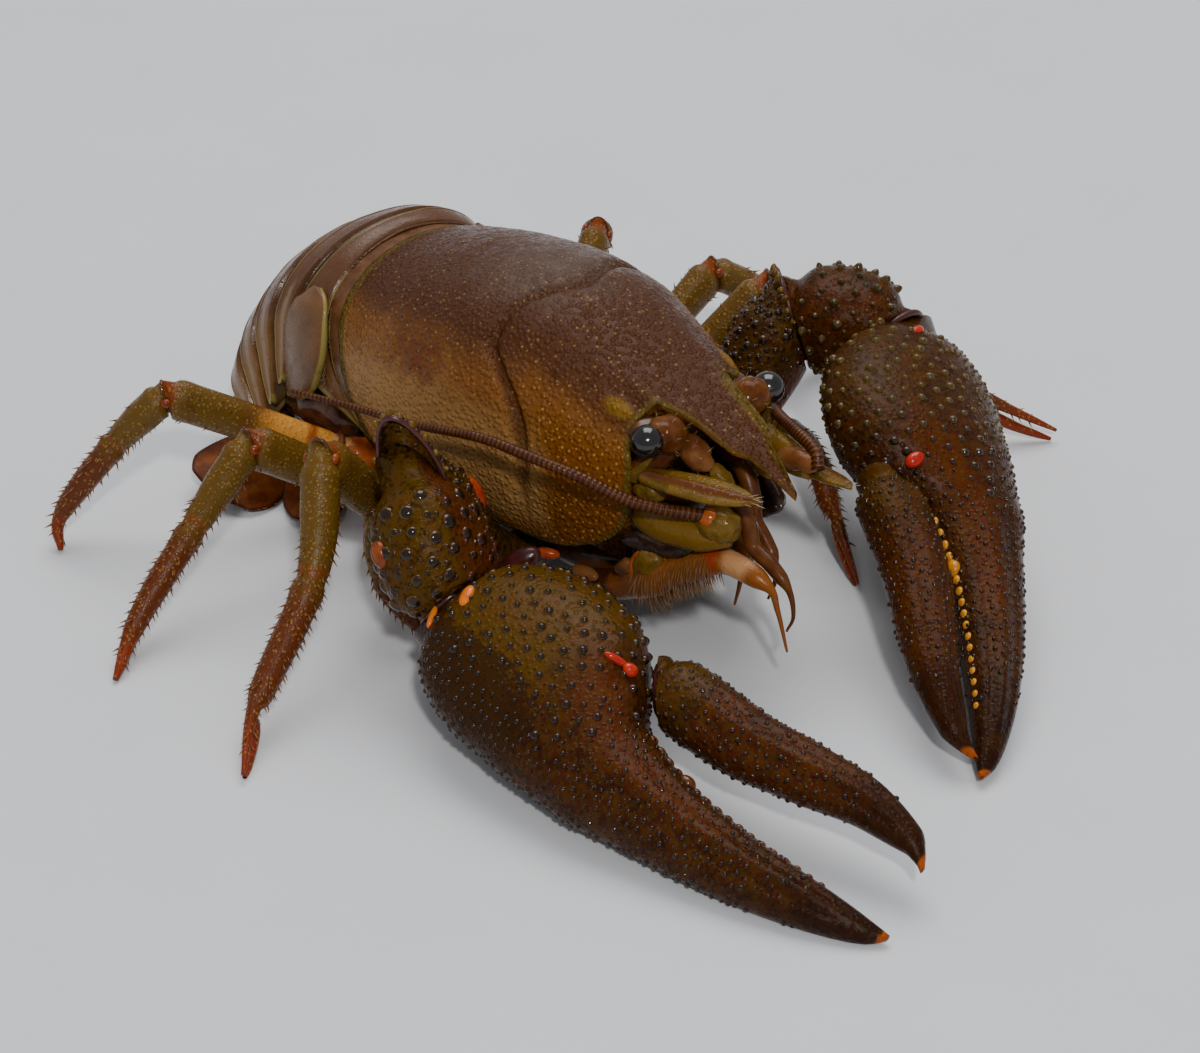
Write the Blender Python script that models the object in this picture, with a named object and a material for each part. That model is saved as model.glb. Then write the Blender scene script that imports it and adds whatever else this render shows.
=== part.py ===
"""A whole crayfish lying on its legs and claws, head towards -Y, its own left side at +X."""
import bpy
import bmesh
import numpy as np
from math import pi, sin, cos, radians

for old in list(bpy.data.objects):
    bpy.data.objects.remove(old, do_unlink=True)

# Lengths below are in millimetres and meshes are written in metres
MM = 0.001
GAP = 0.3

# The body's middle plane and shield centre, measured from the footprint's centre
BODY_AT = np.array([-2.71, 8.479, 0.0])

# Driving sizes of the shield. Its front edge lies at the orbits and runs on as the rostrum. A share runs
# round the section from the ridge of the back at 0 to the lower margin at 1
ORBIT_Y = -17.2
ROSTRUM_TIP_Y = -35.0
ROSTRUM_SHARE = 0.155
WIDE_SHARE = 0.62
SHIELD_ROUNDNESS = 0.93
SHIELD_COLUMNS = 36
ROSTRUM_ROWS = 7
# Half width, top, widest place's height and lower margin at places along Y
HALF_WIDTH = [(-24, 10.2), (-19, 11.6), (-13, 13.2), (-6, 15.0), (2, 16.8), (10, 17.8), (20, 17.6), (30, 16.0),
              (36, 14.6)]
TOP = [(-24, 30.8), (-17, 33.4), (-11, 35.4), (-5, 37.4), (2, 39.2), (10, 38.8), (20, 36.8), (30, 33.9), (36, 31.6)]
WIDEST_HEIGHT = [(-24, 22.5), (-10, 22.0), (4, 21.2), (20, 20.5), (36, 19.5)]
LOWER_MARGIN = [(-24, 11.6), (-8, 11.6), (2, 11.4), (14, 10.8), (26, 10.2), (36, 10.4)]
# Where the rear margin, the front margin and the neck groove lie along Y at each share, and the groove's depth
REAR_MARGIN = [(0.0, 35.0), (0.35, 33.8), (0.62, 30.3), (0.8, 27.6), (1.0, 24.0)]
FRONT_MARGIN = [(0.155, -17.2), (0.25, -16.6), (0.36, -17.4), (0.48, -18.9), (0.62, -19.2), (0.72, -18.4),
                (0.82, -16.0), (0.9, -12.6), (0.96, -9.0), (1.0, -5.5)]
GROOVE_LINE = [(0.0, 2.2), (0.2, 5.8), (0.3, 5.0), (0.36, 2.2), (0.42, -0.8), (0.5, -3.2), (0.6, -4.2), (0.8, -4.0),
               (1.0, -1.0)]
GROOVE_DEPTH = [(0.0, 0.9), (0.3, 1.1), (0.45, 1.2), (0.6, 0.9), (0.8, 0.5), (1.0, 0.1)]
GROOVE_WIDTH = 1.1
# Shares of the way from rear margin to groove, then from groove to front margin, where rows stand
ROWS_BEHIND = [0.0, 0.12, 0.26, 0.4, 0.54, 0.67, 0.79, 0.88, 0.945]
ROWS_BEFORE = [0.0, 0.065, 0.14, 0.25, 0.38, 0.51, 0.64, 0.76, 0.88, 1.0]
ROSTRUM_HALF_WIDTH = [(-35, 0.2), (-32, 1.05), (-28.6, 1.9), (-27.0, 3.15), (-26.0, 3.4), (-22, 4.0), (-17.2, 5.3)]
ROSTRUM_MIDDLE = [(-35, 27.2), (-31, 28.6), (-27, 30.2), (-22, 31.8), (-17.2, 33.3)]
ROSTRUM_RIM = 0.9

# The tail bends down and under: its back line in the middle plane, with places 0 to 1 along it
BACK_LINE = [(36.4, 32.0), (41.5, 31.5), (47.4, 28.6), (52.6, 23.2), (56.6, 15.8), (58.2, 9.0), (56.6, 3.4),
             (51.4, 1.0)]
TAIL_HUB = (43.0, 2.0)
SOMITE_EDGES = [0.0, 0.085, 0.2, 0.36, 0.53, 0.72, 1.0]
TAIL_HALF_WIDTH = [(0.0, 14.0), (0.25, 15.4), (0.5, 15.4), (0.75, 14.2), (1.0, 11.0)]
TAIL_ARCH = [(0.0, 12.0), (0.4, 11.0), (0.75, 8.0), (1.0, 4.0)]
PLEURON_LENGTH = [(0.0, 4.0), (0.25, 8.0), (0.6, 5.5), (0.9, 2.4), (1.0, 1.2)]
TAIL_BEND = 5.0
TILE_STEP = 0.7
TILE_GAP = 0.009
# Thin plates: rows along their length, and the tail fan's half widths as shares of its widest place
PLATE_ROWS = [0.0, 0.08, 0.25, 0.45, 0.65, 0.82, 0.94, 1.0]
FAN_WIDTH = [(0.0, 0.25), (0.1, 0.5), (0.45, 0.9), (0.75, 1.0), (0.94, 0.78), (1.0, 0.4)]

# The chela, along its own axis from the wrist, then sideways towards the body
PALM_MIDDLE = [(0, -0.2), (3, -0.1), (8, 0.1), (14, 0.1), (19, -0.4), (23, -1.6), (26, -3.2), (29.5, -4.9),
               (38, -5.2), (46, -4.7), (54, -3.5), (61, -2.0), (64.5, -1.0), (66, -0.2)]
PALM_HALF_WIDTH = [(0, 6.4), (3, 8.8), (8, 11.1), (13, 11.9), (18, 11.8), (23, 10.4), (26, 8.7), (29.5, 6.9),
                   (38, 5.0), (46, 4.1), (54, 3.2), (61, 2.1), (64.5, 1.2), (66, 0.4)]
PALM_HALF_THICKNESS = [(0, 4.6), (4, 5.8), (10, 6.6), (18, 6.8), (25, 6.0), (32, 5.0), (40, 4.1), (50, 3.3),
                       (58, 2.5), (63, 1.5), (66, 0.45)]
PALM_RISE = [(0, 0.0), (26, 0.3), (54, 0.0), (66, -0.9)]
FINGER_START = 23.6
# The hinge face stands slantwise between palm and finger: a place on it, and the way it faces
HINGE_AT = (26.9, 6.6)
HINGE_FACE = (0.76, 0.65)
FINGER_MIDDLE = [(23.6, 6.4), (27, 7.2), (37.5, 7.3), (47, 8.8), (55.6, 10.1), (61, 9.9), (63, 8.9), (64, 8.0)]
FINGER_HALF_WIDTH = [(23.6, 2.2), (26, 3.6), (31, 4.3), (37.5, 4.1), (47, 3.6), (55.6, 2.6), (61, 1.6), (64, 0.4)]
FINGER_HALF_THICKNESS = [(23.6, 2.4), (27, 3.9), (37, 3.7), (47, 3.1), (56, 2.3), (61, 1.5), (64, 0.4)]
PALM_STATIONS = [0.5, 1.6, 3.6, 6.5, 10, 14, 18, 21, 23.6, 26, 28.2, 30.5, 34, 38, 42.5, 47, 51.5, 56, 59.5, 62.4,
                 64.6, 66]
FINGER_STATIONS = [23.6, 24.8, 26.6, 29.5, 33.5, 38, 42.5, 47, 51.5, 56, 59.5, 62, 64]

# The claw's upper arm and wrist piece: half widths and half heights at even steps along each
ARM_HALF_WIDTHS = [2.4, 2.9, 3.5, 3.9, 4.3, 4.8, 5.2, 5.5, 5.6, 5.2]
ARM_HALF_HEIGHTS = [2.1, 2.2, 2.4, 2.7, 3.3, 4.0, 4.6, 4.9, 4.9, 4.6]
WRIST_HALF_WIDTHS = [4.9, 5.8, 6.4, 6.8, 7.0, 7.0, 6.8, 6.4, 5.6]
WRIST_HALF_HEIGHTS = [4.6, 5.3, 5.8, 6.1, 6.2, 6.1, 5.8, 5.4, 4.9]
# How the upper arm leaves the body: straight out, then under the shield's edge
ARM_OUT = 4.5
ARM_UNDER_SHARE = 0.55
ARM_UNDER_OUT = 1.6
ARM_UNDER = np.array([0.0, 0.0, -3.4])
WRIST_BOW = 0.4
FINGER_RISE = 0.5
# Where each claw lies: hip, elbow, wrist and fixed finger's tip, its inner edge's lift and its finger's closing
CLAW_R = dict(hip=(-9.2, 1.2, 6.4), elbow=(-28.0, -0.5, 23.5), wrist=(-30.5, -11.0, 12.5), tip=(-23.4, -75.0, 1.8),
              lift=25.0, closed=0.0)
CLAW_L = dict(hip=(9.2, 1.2, 6.4), elbow=(31.8, 0.6, 24.4), wrist=(39.6, -10.6, 22.0), tip=(4.0, -63.2, 1.8),
              lift=25.0, closed=7.2)


def smooth(stations, place):
    """Read the smooth curve that passes through (place, value) stations without overshoot."""
    x = np.array([s[0] for s in stations], float)
    y = np.array([s[1] for s in stations], float)
    run = np.diff(x)
    rise = np.diff(y) / run
    slope = np.zeros(len(x))
    for i in range(1, len(x) - 1):
        if rise[i - 1] * rise[i] > 0:
            slope[i] = 2 * rise[i - 1] * rise[i] / (rise[i - 1] + rise[i])
    slope[0] = rise[0]
    slope[-1] = rise[-1]
    t = np.clip(np.asarray(place, float), x[0], x[-1])
    i = np.clip(np.searchsorted(x, t, side="right") - 1, 0, len(run) - 1)
    u = (t - x[i]) / run[i]
    return ((1 + 2 * u) * (1 - u) ** 2 * y[i] + u * (1 - u) ** 2 * run[i] * slope[i]
            + u * u * (3 - 2 * u) * y[i + 1] - u * u * (1 - u) * run[i] * slope[i + 1])


def ease(low, high, value):
    """Go from 0 below low to 1 above high."""
    t = np.clip((value - low) / (high - low), 0, 1)
    return t * t * (3 - 2 * t)


def unit(v):
    v = np.asarray(v, float)
    return v / np.linalg.norm(v)


def route(points, count):
    """Place count points evenly along the smooth curve through a few points."""
    p = np.array(points, float)
    p = np.vstack([2 * p[0] - p[1], p, 2 * p[-1] - p[-2]])
    fine = []
    for i in range(1, len(p) - 2):
        for u in np.linspace(0, 1, 24, endpoint=False):
            fine.append(0.5 * (2 * p[i] + (p[i + 1] - p[i - 1]) * u
                               + (2 * p[i - 1] - 5 * p[i] + 4 * p[i + 1] - p[i + 2]) * u * u
                               + (3 * p[i] - 3 * p[i + 1] + p[i + 2] - p[i - 1]) * u ** 3))
    fine.append(p[-2])
    fine = np.array(fine)
    far = np.concatenate([[0], np.cumsum(np.linalg.norm(np.diff(fine, axis=0), axis=1))])
    want = np.linspace(0, far[-1], count)
    return np.stack([np.interp(want, far, fine[:, k]) for k in range(3)], axis=1)


def material(name, colour, roughness):
    mat = bpy.data.materials.new(name)
    mat.use_nodes = True
    shader = mat.node_tree.nodes["Principled BSDF"]
    shader.inputs["Base Color"].default_value = (*colour, 1)
    shader.inputs["Roughness"].default_value = roughness
    shader.inputs["Metallic"].default_value = 0.0
    return mat


SHELL_BROWN = material("shell_brown", (0.16, 0.065, 0.018), 0.35)
TAIL_BROWN = material("tail_brown", (0.17, 0.085, 0.030), 0.35)
CLAW_DARK = material("claw_dark", (0.055, 0.022, 0.010), 0.28)
LEG_AMBER = material("leg_amber", (0.25, 0.10, 0.020), 0.38)
EYE_BLACK = material("eye_black", (0.010, 0.010, 0.016), 0.08)
FEELER_BROWN = material("feeler_brown", (0.10, 0.035, 0.020), 0.45)
MOUTH_AMBER = material("mouth_amber", (0.33, 0.14, 0.05), 0.35)


def solid(name, points, faces, mat):
    """Make one closed object from points in millimetres, with its faces pointing out."""
    p = np.array(points, float)
    p[:, 2] = np.maximum(p[:, 2], 0.0)
    mesh = bpy.data.meshes.new(name)
    bm = bmesh.new()
    corners = [bm.verts.new((q + BODY_AT) * MM) for q in p]
    for face in faces:
        bm.faces.new([corners[i] for i in face])
    bmesh.ops.remove_doubles(bm, verts=bm.verts, dist=0.00001)
    bmesh.ops.dissolve_degenerate(bm, edges=bm.edges, dist=0.000005)
    bmesh.ops.triangulate(bm, faces=bm.faces)
    bmesh.ops.recalc_face_normals(bm, faces=bm.faces)
    bm.to_mesh(mesh)
    bm.free()
    mesh.shade_smooth()
    mesh.materials.append(mat)
    obj = bpy.data.objects.new(name, mesh)
    bpy.context.scene.collection.objects.link(obj)
    return obj


def ring_faces(rings, sides):
    """Join rings of points, numbered one after another, into a tube closed by a fan at each end."""
    faces = []
    for r in range(rings - 1):
        for i in range(sides):
            j = (i + 1) % sides
            faces.append((r * sides + i, r * sides + j, (r + 1) * sides + j, (r + 1) * sides + i))
    head = rings * sides
    for i in range(sides):
        j = (i + 1) % sides
        faces.append((head, j, i))
        faces.append((head + 1, (rings - 1) * sides + i, (rings - 1) * sides + j))
    return faces


def cut_ring(ring, middle, along, place, normal, last):
    """Hold a ring behind a plane by sliding its points along the limb; the last ring ends on the plane."""
    held = []
    for q in ring:
        q = middle + (q - middle) * (0.78 if last else 1.0)
        beyond = np.dot(q - place, normal)
        if last or beyond > 0:
            q = q - along * beyond / np.dot(along, normal)
        held.append(q)
    return held


def oval_ring(middle, across, out, half_width, half_height, sides, squareness):
    ring = []
    for i in range(sides):
        a = 2 * pi * i / sides
        c = np.sign(cos(a)) * abs(cos(a)) ** (2 / squareness)
        s = np.sign(sin(a)) * abs(sin(a)) ** (2 / squareness)
        ring.append(middle + across * c * half_width + out * s * half_height)
    return ring


def tube(path, half_widths, half_heights, up=(0, 0, 1), sides=10, squareness=2.0, cuts=(None, None), frame=None):
    """Sweep an oval along a path; a cut is a plane (point, outward normal) that an end stops at."""
    path = np.array(path, float)
    count = len(path)
    along = np.gradient(path, axis=0)
    rings = []
    ends = [path[0], path[-1]]
    for k in range(count):
        t = unit(along[k])
        if frame is None:
            across = unit(np.cross(t, up))
            out = np.cross(across, t)
        else:
            t, across, out = frame
        ring = oval_ring(path[k], across, out, half_widths[k], half_heights[k], sides, squareness)
        for end, cut in enumerate(cuts):
            if cut is not None:
                last = k == (0 if end == 0 else count - 1)
                place, normal = np.array(cut[0]), unit(cut[1])
                ring = cut_ring(ring, path[k], t, place, normal, last)
                if last:
                    ends[end] = path[k] - t * np.dot(path[k] - place, normal) / np.dot(t, normal)
        rings.extend(ring)
    return rings + ends, ring_faces(count, sides)


def add_tube(name, mat, path, half_widths, half_heights, **shape):
    points, faces = tube(path, half_widths, half_heights, **shape)
    return solid(name, points, faces, mat)


def shield_point(q, y):
    """Give the shield's surface at a share q (-1 to 1) round its section and a place y along it."""
    u = abs(q)
    half = float(smooth(HALF_WIDTH, y))
    top = float(smooth(TOP, y))
    middle = float(smooth(WIDEST_HEIGHT, y))
    low = float(smooth(LOWER_MARGIN, y))
    if u <= WIDE_SHARE:
        angle = u / WIDE_SHARE * pi / 2
        x = half * sin(angle) ** SHIELD_ROUNDNESS
        z = middle + (top - middle) * max(cos(angle), 0.0) ** SHIELD_ROUNDNESS
    else:
        s = (u - WIDE_SHARE) / (1 - WIDE_SHARE)
        x = half * (1 - 0.14 * s * s)
        z = middle - (middle - low) * s
    lift = -float(smooth(GROOVE_DEPTH, u)) * np.exp(-((y - float(smooth(GROOVE_LINE, u))) / GROOVE_WIDTH) ** 2)
    carina = ROSTRUM_RIM * (1 - float(ease(ORBIT_Y, -7.0, y)))
    lift += carina * np.exp(-((u - ROSTRUM_SHARE) / 0.045) ** 2)
    lift += 0.8 * np.exp(-((u - 0.26) / 0.05) ** 2) * np.exp(-((y + 14.0) / 2.6) ** 2)
    out = unit((x / half ** 2, (z - middle) / (top - middle) ** 2)) if u <= WIDE_SHARE else np.array([1.0, 0.0])
    x += out[0] * lift
    z += out[1] * lift
    return np.array([x if q >= 0 else -x, y, z])


def rostrum_point(q, y):
    """Give the rostrum's upper surface; q runs over the same middle columns as on the shield."""
    e = abs(q) / ROSTRUM_SHARE
    half = float(smooth(ROSTRUM_HALF_WIDTH, y))
    root = 1 - float(ease(-22.0, ORBIT_Y, y))
    tip = float(ease(ROSTRUM_TIP_Y, -31.0, y))
    z = float(smooth(ROSTRUM_MIDDLE, y)) - 0.85 * e * e * (1 - root)
    z += (ROSTRUM_RIM * e ** 4 - 0.25 * root * e * (1 - e)) * (0.25 + 0.75 * tip)
    return np.array([np.sign(q) * e * half, y, z])


def shield_places(q):
    """Give the places along Y of the shield's rows on one column: one row always lies in the groove."""
    rear = float(smooth(REAR_MARGIN, abs(q)))
    groove = float(smooth(GROOVE_LINE, abs(q)))
    front = float(smooth(FRONT_MARGIN, max(abs(q), ROSTRUM_SHARE)))
    behind = [rear + (groove - rear) * share for share in ROWS_BEHIND]
    return behind + [groove + (front - groove) * share for share in ROWS_BEFORE]


def make_shield():
    columns = np.linspace(-1, 1, SHIELD_COLUMNS + 1)
    inner = np.linspace(-ROSTRUM_SHARE, ROSTRUM_SHARE, 7)
    columns = np.concatenate([columns[columns < -ROSTRUM_SHARE - 0.02], inner,
                              columns[columns > ROSTRUM_SHARE + 0.02]])
    first = int(np.argmin(abs(columns + ROSTRUM_SHARE)))
    last = int(np.argmin(abs(columns - ROSTRUM_SHARE)))
    count = len(columns)
    places = [shield_places(q) for q in columns]
    last_row = len(places[0]) - 1
    points = []
    for r in range(last_row + 1):
        for i, q in enumerate(columns):
            points.append(shield_point(q, places[i][r]))
    faces = []
    for r in range(last_row):
        for i in range(count - 1):
            a = r * count + i
            faces.append((a, a + 1, a + count + 1, a + count))
    # The rostrum goes on from the middle columns of the last row
    front_row = last_row * count
    before = list(range(front_row + first, front_row + last + 1))
    left_edge = [before[0]]
    right_edge = [before[-1]]
    for r in range(1, ROSTRUM_ROWS + 1):
        y = ORBIT_Y + (ROSTRUM_TIP_Y - ORBIT_Y) * (r / ROSTRUM_ROWS) ** 0.9
        row = []
        for q in columns[first:last + 1]:
            row.append(len(points))
            points.append(rostrum_point(q, y))
        for i in range(len(row) - 1):
            faces.append((before[i], before[i + 1], row[i + 1], row[i]))
        left_edge.append(row[0])
        right_edge.append(row[-1])
        before = row
    under = []
    for a, b in zip(left_edge, right_edge):
        under.append(len(points))
        middle = (np.array(points[a]) + np.array(points[b])) / 2
        wide = np.linalg.norm(np.array(points[b]) - np.array(points[a]))
        points.append(middle - np.array([0, 0, 0.9 + 0.2 * wide]))
    for k in range(len(under) - 1):
        faces.append((left_edge[k], left_edge[k + 1], under[k + 1], under[k]))
        faces.append((right_edge[k + 1], right_edge[k], under[k], under[k + 1]))
    faces.append(tuple(before + [under[-1]]))
    # The underside closes from the margin over a rolled rim to a flat floor
    loop = [i for i in range(count)]
    loop += [r * count + count - 1 for r in range(1, last_row + 1)]
    loop += [front_row + i for i in range(count - 2, last - 1, -1)]
    loop += [under[0]]
    loop += [front_row + i for i in range(first, -1, -1)]
    loop += [r * count for r in range(last_row - 1, 0, -1)]
    rim = []
    floor = []
    for i in loop:
        x, y, z = points[i]
        middle = float(smooth(WIDEST_HEIGHT, y))
        low = float(smooth(LOWER_MARGIN, y))
        inset = np.array([x * 0.93, y - 0.5 * np.sign(y), middle + (z - middle) * 0.94])
        rim.append(len(points))
        points.append(inset)
        floor.append(len(points))
        share = np.clip((z - low) / 20.0, 0, 1)
        points.append(np.array([x * (0.84 - 0.2 * share), y * 0.93 + (1.2 if y < 0 else -0.6), low + 0.9]))
    for k in range(len(loop)):
        n = (k + 1) % len(loop)
        faces.append((loop[k], loop[n], rim[n], rim[k]))
        faces.append((rim[k], rim[n], floor[n], floor[k]))
    centre = len(points)
    points.append(np.array([0.0, 6.0, float(smooth(LOWER_MARGIN, 6.0)) + 0.9]))
    for k in range(len(loop)):
        faces.append((floor[k], floor[(k + 1) % len(loop)], centre))
    solid("carapace", points, faces, SHELL_BROWN)


def tail_place(t):
    """Give the back line's point, its direction out of the tail's curl, and the sideways bend, at a place t."""
    line = route([(0.0, y, z) for y, z in BACK_LINE], 81)
    at = np.array([np.interp(t, np.linspace(0, 1, 81), line[:, k]) for k in range(3)])
    hub = np.array([0.0, *TAIL_HUB])
    return at, unit(at - hub), -TAIL_BEND * t * t


def tail_point(q, t, raised=0.0):
    """Give the tail's outer surface at a share q round it and a place t along the back line."""
    at, out, bend = tail_place(t)
    u = abs(q)
    half = float(smooth(TAIL_HALF_WIDTH, t)) + raised
    arch = float(smooth(TAIL_ARCH, t))
    drop_down = float(smooth(PLEURON_LENGTH, t))
    if u <= WIDE_SHARE:
        angle = u / WIDE_SHARE * pi / 2
        x = half * sin(angle) ** 0.95
        drop = arch * (1 - max(cos(angle), 0.0) ** 0.95)
    else:
        s = (u - WIDE_SHARE) / (1 - WIDE_SHARE)
        x = half * (1 + 0.03 * s)
        drop = arch + drop_down * s
    place = at + out * (raised - drop)
    return np.array([(x if q >= 0 else -x) + bend, place[1], place[2]])


def make_somite(index):
    start = SOMITE_EDGES[index]
    end = SOMITE_EDGES[index + 1] - TILE_GAP
    columns = np.linspace(-1, 1, 23)
    rows = [0.0, 0.22, 0.3, 0.65, 1.0]
    points = []
    for r in rows:
        step = TILE_STEP * float(ease(0.18, 0.34, r))
        for q in columns:
            s = max(abs(q) - WIDE_SHARE, 0) / (1 - WIDE_SHARE)
            narrow = (1 - s ** 2.6) ** 0.5 * 0.84 + 0.16
            middle = start + (end - start) * (0.5 + 0.12 * s)
            t = middle + (r - 0.5) * (end - start) * narrow
            point = tail_point(q, t, step)
            if index == 0:
                margin = shield_point(q, float(smooth(REAR_MARGIN, abs(q))))
                margin = np.array([margin[0] * 0.965, margin[1] + 2.7, 20 + (margin[2] - 20) * 0.95])
                share = (1 - float(ease(0.0, 0.9, r)))
                point = margin * share + point * (1 - share)
            points.append(point)
    count = len(columns)
    faces = []
    for r in range(len(rows) - 1):
        for i in range(count - 1):
            a = r * count + i
            faces.append((a, a + 1, a + count + 1, a + count))
    loop = [i for i in range(count)]
    loop += [r * count + count - 1 for r in range(1, len(rows))]
    loop += [(len(rows) - 1) * count + i for i in range(count - 2, -1, -1)]
    loop += [r * count for r in range(len(rows) - 2, 0, -1)]
    at, out, bend = tail_place((start + end) / 2)
    deep = float(smooth(TAIL_ARCH, (start + end) / 2)) * 0.9
    heart = at - out * deep + np.array([bend, 0, 0])
    centre = len(points) + len(loop)
    ring = []
    for i in loop:
        ring.append(len(points))
        points.append(points[i] + (heart - points[i]) * 0.35)
    points.append(heart)
    for k in range(len(loop)):
        n = (k + 1) % len(loop)
        faces.append((loop[k], loop[n], ring[n], ring[k]))
        faces.append((ring[k], ring[n], centre))
    solid("somite_%d" % (index + 1), points, faces, TAIL_BROWN)


def plate(name, root, end, across, half_width, thick, mat):
    """Make a thin rounded plate from root to end; across is its width direction."""
    root = np.array(root, float)
    end = np.array(end, float)
    along = end - root
    across = unit(np.asarray(across, float) - unit(along) * np.dot(across, unit(along)))
    face = unit(np.cross(along, across))
    if face[2] < 0:
        face = -face
    points = []
    columns = np.linspace(-1, 1, 6)
    for t in PLATE_ROWS:
        wide = float(smooth(half_width, t))
        for c in columns:
            base = root + along * t + across * c * wide
            body = thick * (1 - 0.75 * abs(c) ** 3) * (1 - 0.5 * t * t)
            points.append(base + face * body / 2)
            points.append(base - face * body / 2)
    rows = len(PLATE_ROWS)
    wide = len(columns)
    faces = []

    def number(r, i, lower):
        return (r * wide + i) * 2 + lower

    for r in range(rows - 1):
        for i in range(wide - 1):
            faces.append((number(r, i, 0), number(r, i + 1, 0), number(r + 1, i + 1, 0), number(r + 1, i, 0)))
            faces.append((number(r, i, 1), number(r + 1, i, 1), number(r + 1, i + 1, 1), number(r, i + 1, 1)))
        for i in (0, wide - 1):
            faces.append((number(r, i, 0), number(r + 1, i, 0), number(r + 1, i, 1), number(r, i, 1)))
    for r in (0, rows - 1):
        for i in range(wide - 1):
            faces.append((number(r, i, 0), number(r, i, 1), number(r, i + 1, 1), number(r, i + 1, 0)))
    return solid(name, points, faces, mat)


def fan_width(half):
    return [(place, share * half) for place, share in FAN_WIDTH]


def make_tail_fan():
    middle = -TAIL_BEND
    plate("telson", (middle, 46.6, 1.2), (middle + 0.5, 28.0, 1.0), (1, 0, 0), fan_width(6.2), 1.8, TAIL_BROWN)
    for side, sign in (("r", -1), ("l", 1)):
        plate("uropod_inner_" + side, (middle + sign * 6.8, 44.0, 1.2), (middle + sign * 16.6, 29.4, 1.0),
              (0.85, -0.53 * sign, 0.0), fan_width(3.9), 1.4, TAIL_BROWN)
        plate("uropod_outer_" + side, (middle + sign * 8.8, 46.5, 2.4), (middle + sign * 23.6, 41.4, 2.5),
              (-0.31 * sign, 0.83, 0.4), fan_width(5.1), 1.5, TAIL_BROWN)


def add_block(name, stations, sides, squareness):
    """Make a rounded block through (place along Y, height, half width, half height) stations."""
    y, z, wide, high = zip(*stations)
    add_tube(name, MOUTH_AMBER, [(0.0, *place) for place in zip(y, z)], wide, high, sides=sides,
             squareness=squareness)


def make_claw(side, place):
    """Build the upper arm, the wrist piece, the palm with its fixed finger, and the moving finger of one claw."""
    inner = 1.0 if side == "r" else -1.0
    hip, elbow, wrist, tip = [np.array(place[key]) for key in ("hip", "elbow", "wrist", "tip")]
    elbow_normal = unit(unit(elbow - hip) + unit(wrist - elbow))
    outward = np.array([-inner, 0.0, 0.0])
    under = hip + (elbow - hip) * ARM_UNDER_SHARE + outward * ARM_UNDER_OUT + ARM_UNDER
    path = route([hip, hip + outward * ARM_OUT, under, elbow], len(ARM_HALF_WIDTHS))
    add_tube("claw_merus_" + side, CLAW_DARK, path, ARM_HALF_WIDTHS, ARM_HALF_HEIGHTS, up=(0.0, -1.0, 0.15),
             sides=14, squareness=2.3, cuts=(None, (elbow - elbow_normal * GAP / 2, elbow_normal)))
    axis = unit(tip - wrist)
    wrist_normal = unit(unit(wrist - elbow) + axis)
    middle = (elbow + wrist) / 2 + unit(elbow + wrist - 2 * hip) * WRIST_BOW
    path = route([elbow, middle, wrist], len(WRIST_HALF_WIDTHS))
    add_tube("claw_carpus_" + side, CLAW_DARK, path, WRIST_HALF_WIDTHS, WRIST_HALF_HEIGHTS, up=axis, sides=14,
             squareness=2.4, cuts=((elbow + elbow_normal * GAP / 2, -elbow_normal),
                                   (wrist - wrist_normal * GAP / 2, wrist_normal)))
    # The palm's own frame: along it, towards the body, and out of its back
    level = unit(np.cross(axis, (0, 0, 1)))
    level = level if level[0] * inner > 0 else -level
    rise = np.cross(level, axis)
    rise = rise if rise[2] > 0 else -rise
    lift = radians(place["lift"])
    towards = level * cos(lift) + rise * sin(lift)
    back = rise * cos(lift) - level * sin(lift)

    def palm_place(a, b, n):
        return wrist + axis * a + towards * b + back * n

    path = [palm_place(a, float(smooth(PALM_MIDDLE, a)), float(smooth(PALM_RISE, a))) for a in PALM_STATIONS]
    add_tube("claw_palm_" + side, CLAW_DARK, path, smooth(PALM_HALF_WIDTH, PALM_STATIONS),
             smooth(PALM_HALF_THICKNESS, PALM_STATIONS), sides=18, squareness=2.2, frame=(axis, towards, back),
             cuts=((wrist + wrist_normal * GAP / 2, -wrist_normal), None))
    # The moving finger turns about its hinge by the closing distance at its tip
    close = place["closed"] / (FINGER_STATIONS[-1] - FINGER_START)
    path = []
    for a in FINGER_STATIONS:
        b = float(smooth(FINGER_MIDDLE, a)) - close * (a - FINGER_START)
        path.append(palm_place(a, b, float(smooth(PALM_RISE, a)) + FINGER_RISE))
    add_tube("claw_finger_" + side, CLAW_DARK, path, smooth(FINGER_HALF_WIDTH, FINGER_STATIONS),
             smooth(FINGER_HALF_THICKNESS, FINGER_STATIONS), sides=12, squareness=2.2, frame=(axis, towards, back),
             cuts=((palm_place(*HINGE_AT, 0.0), -axis * HINGE_FACE[0] - towards * HINGE_FACE[1]), None))


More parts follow.
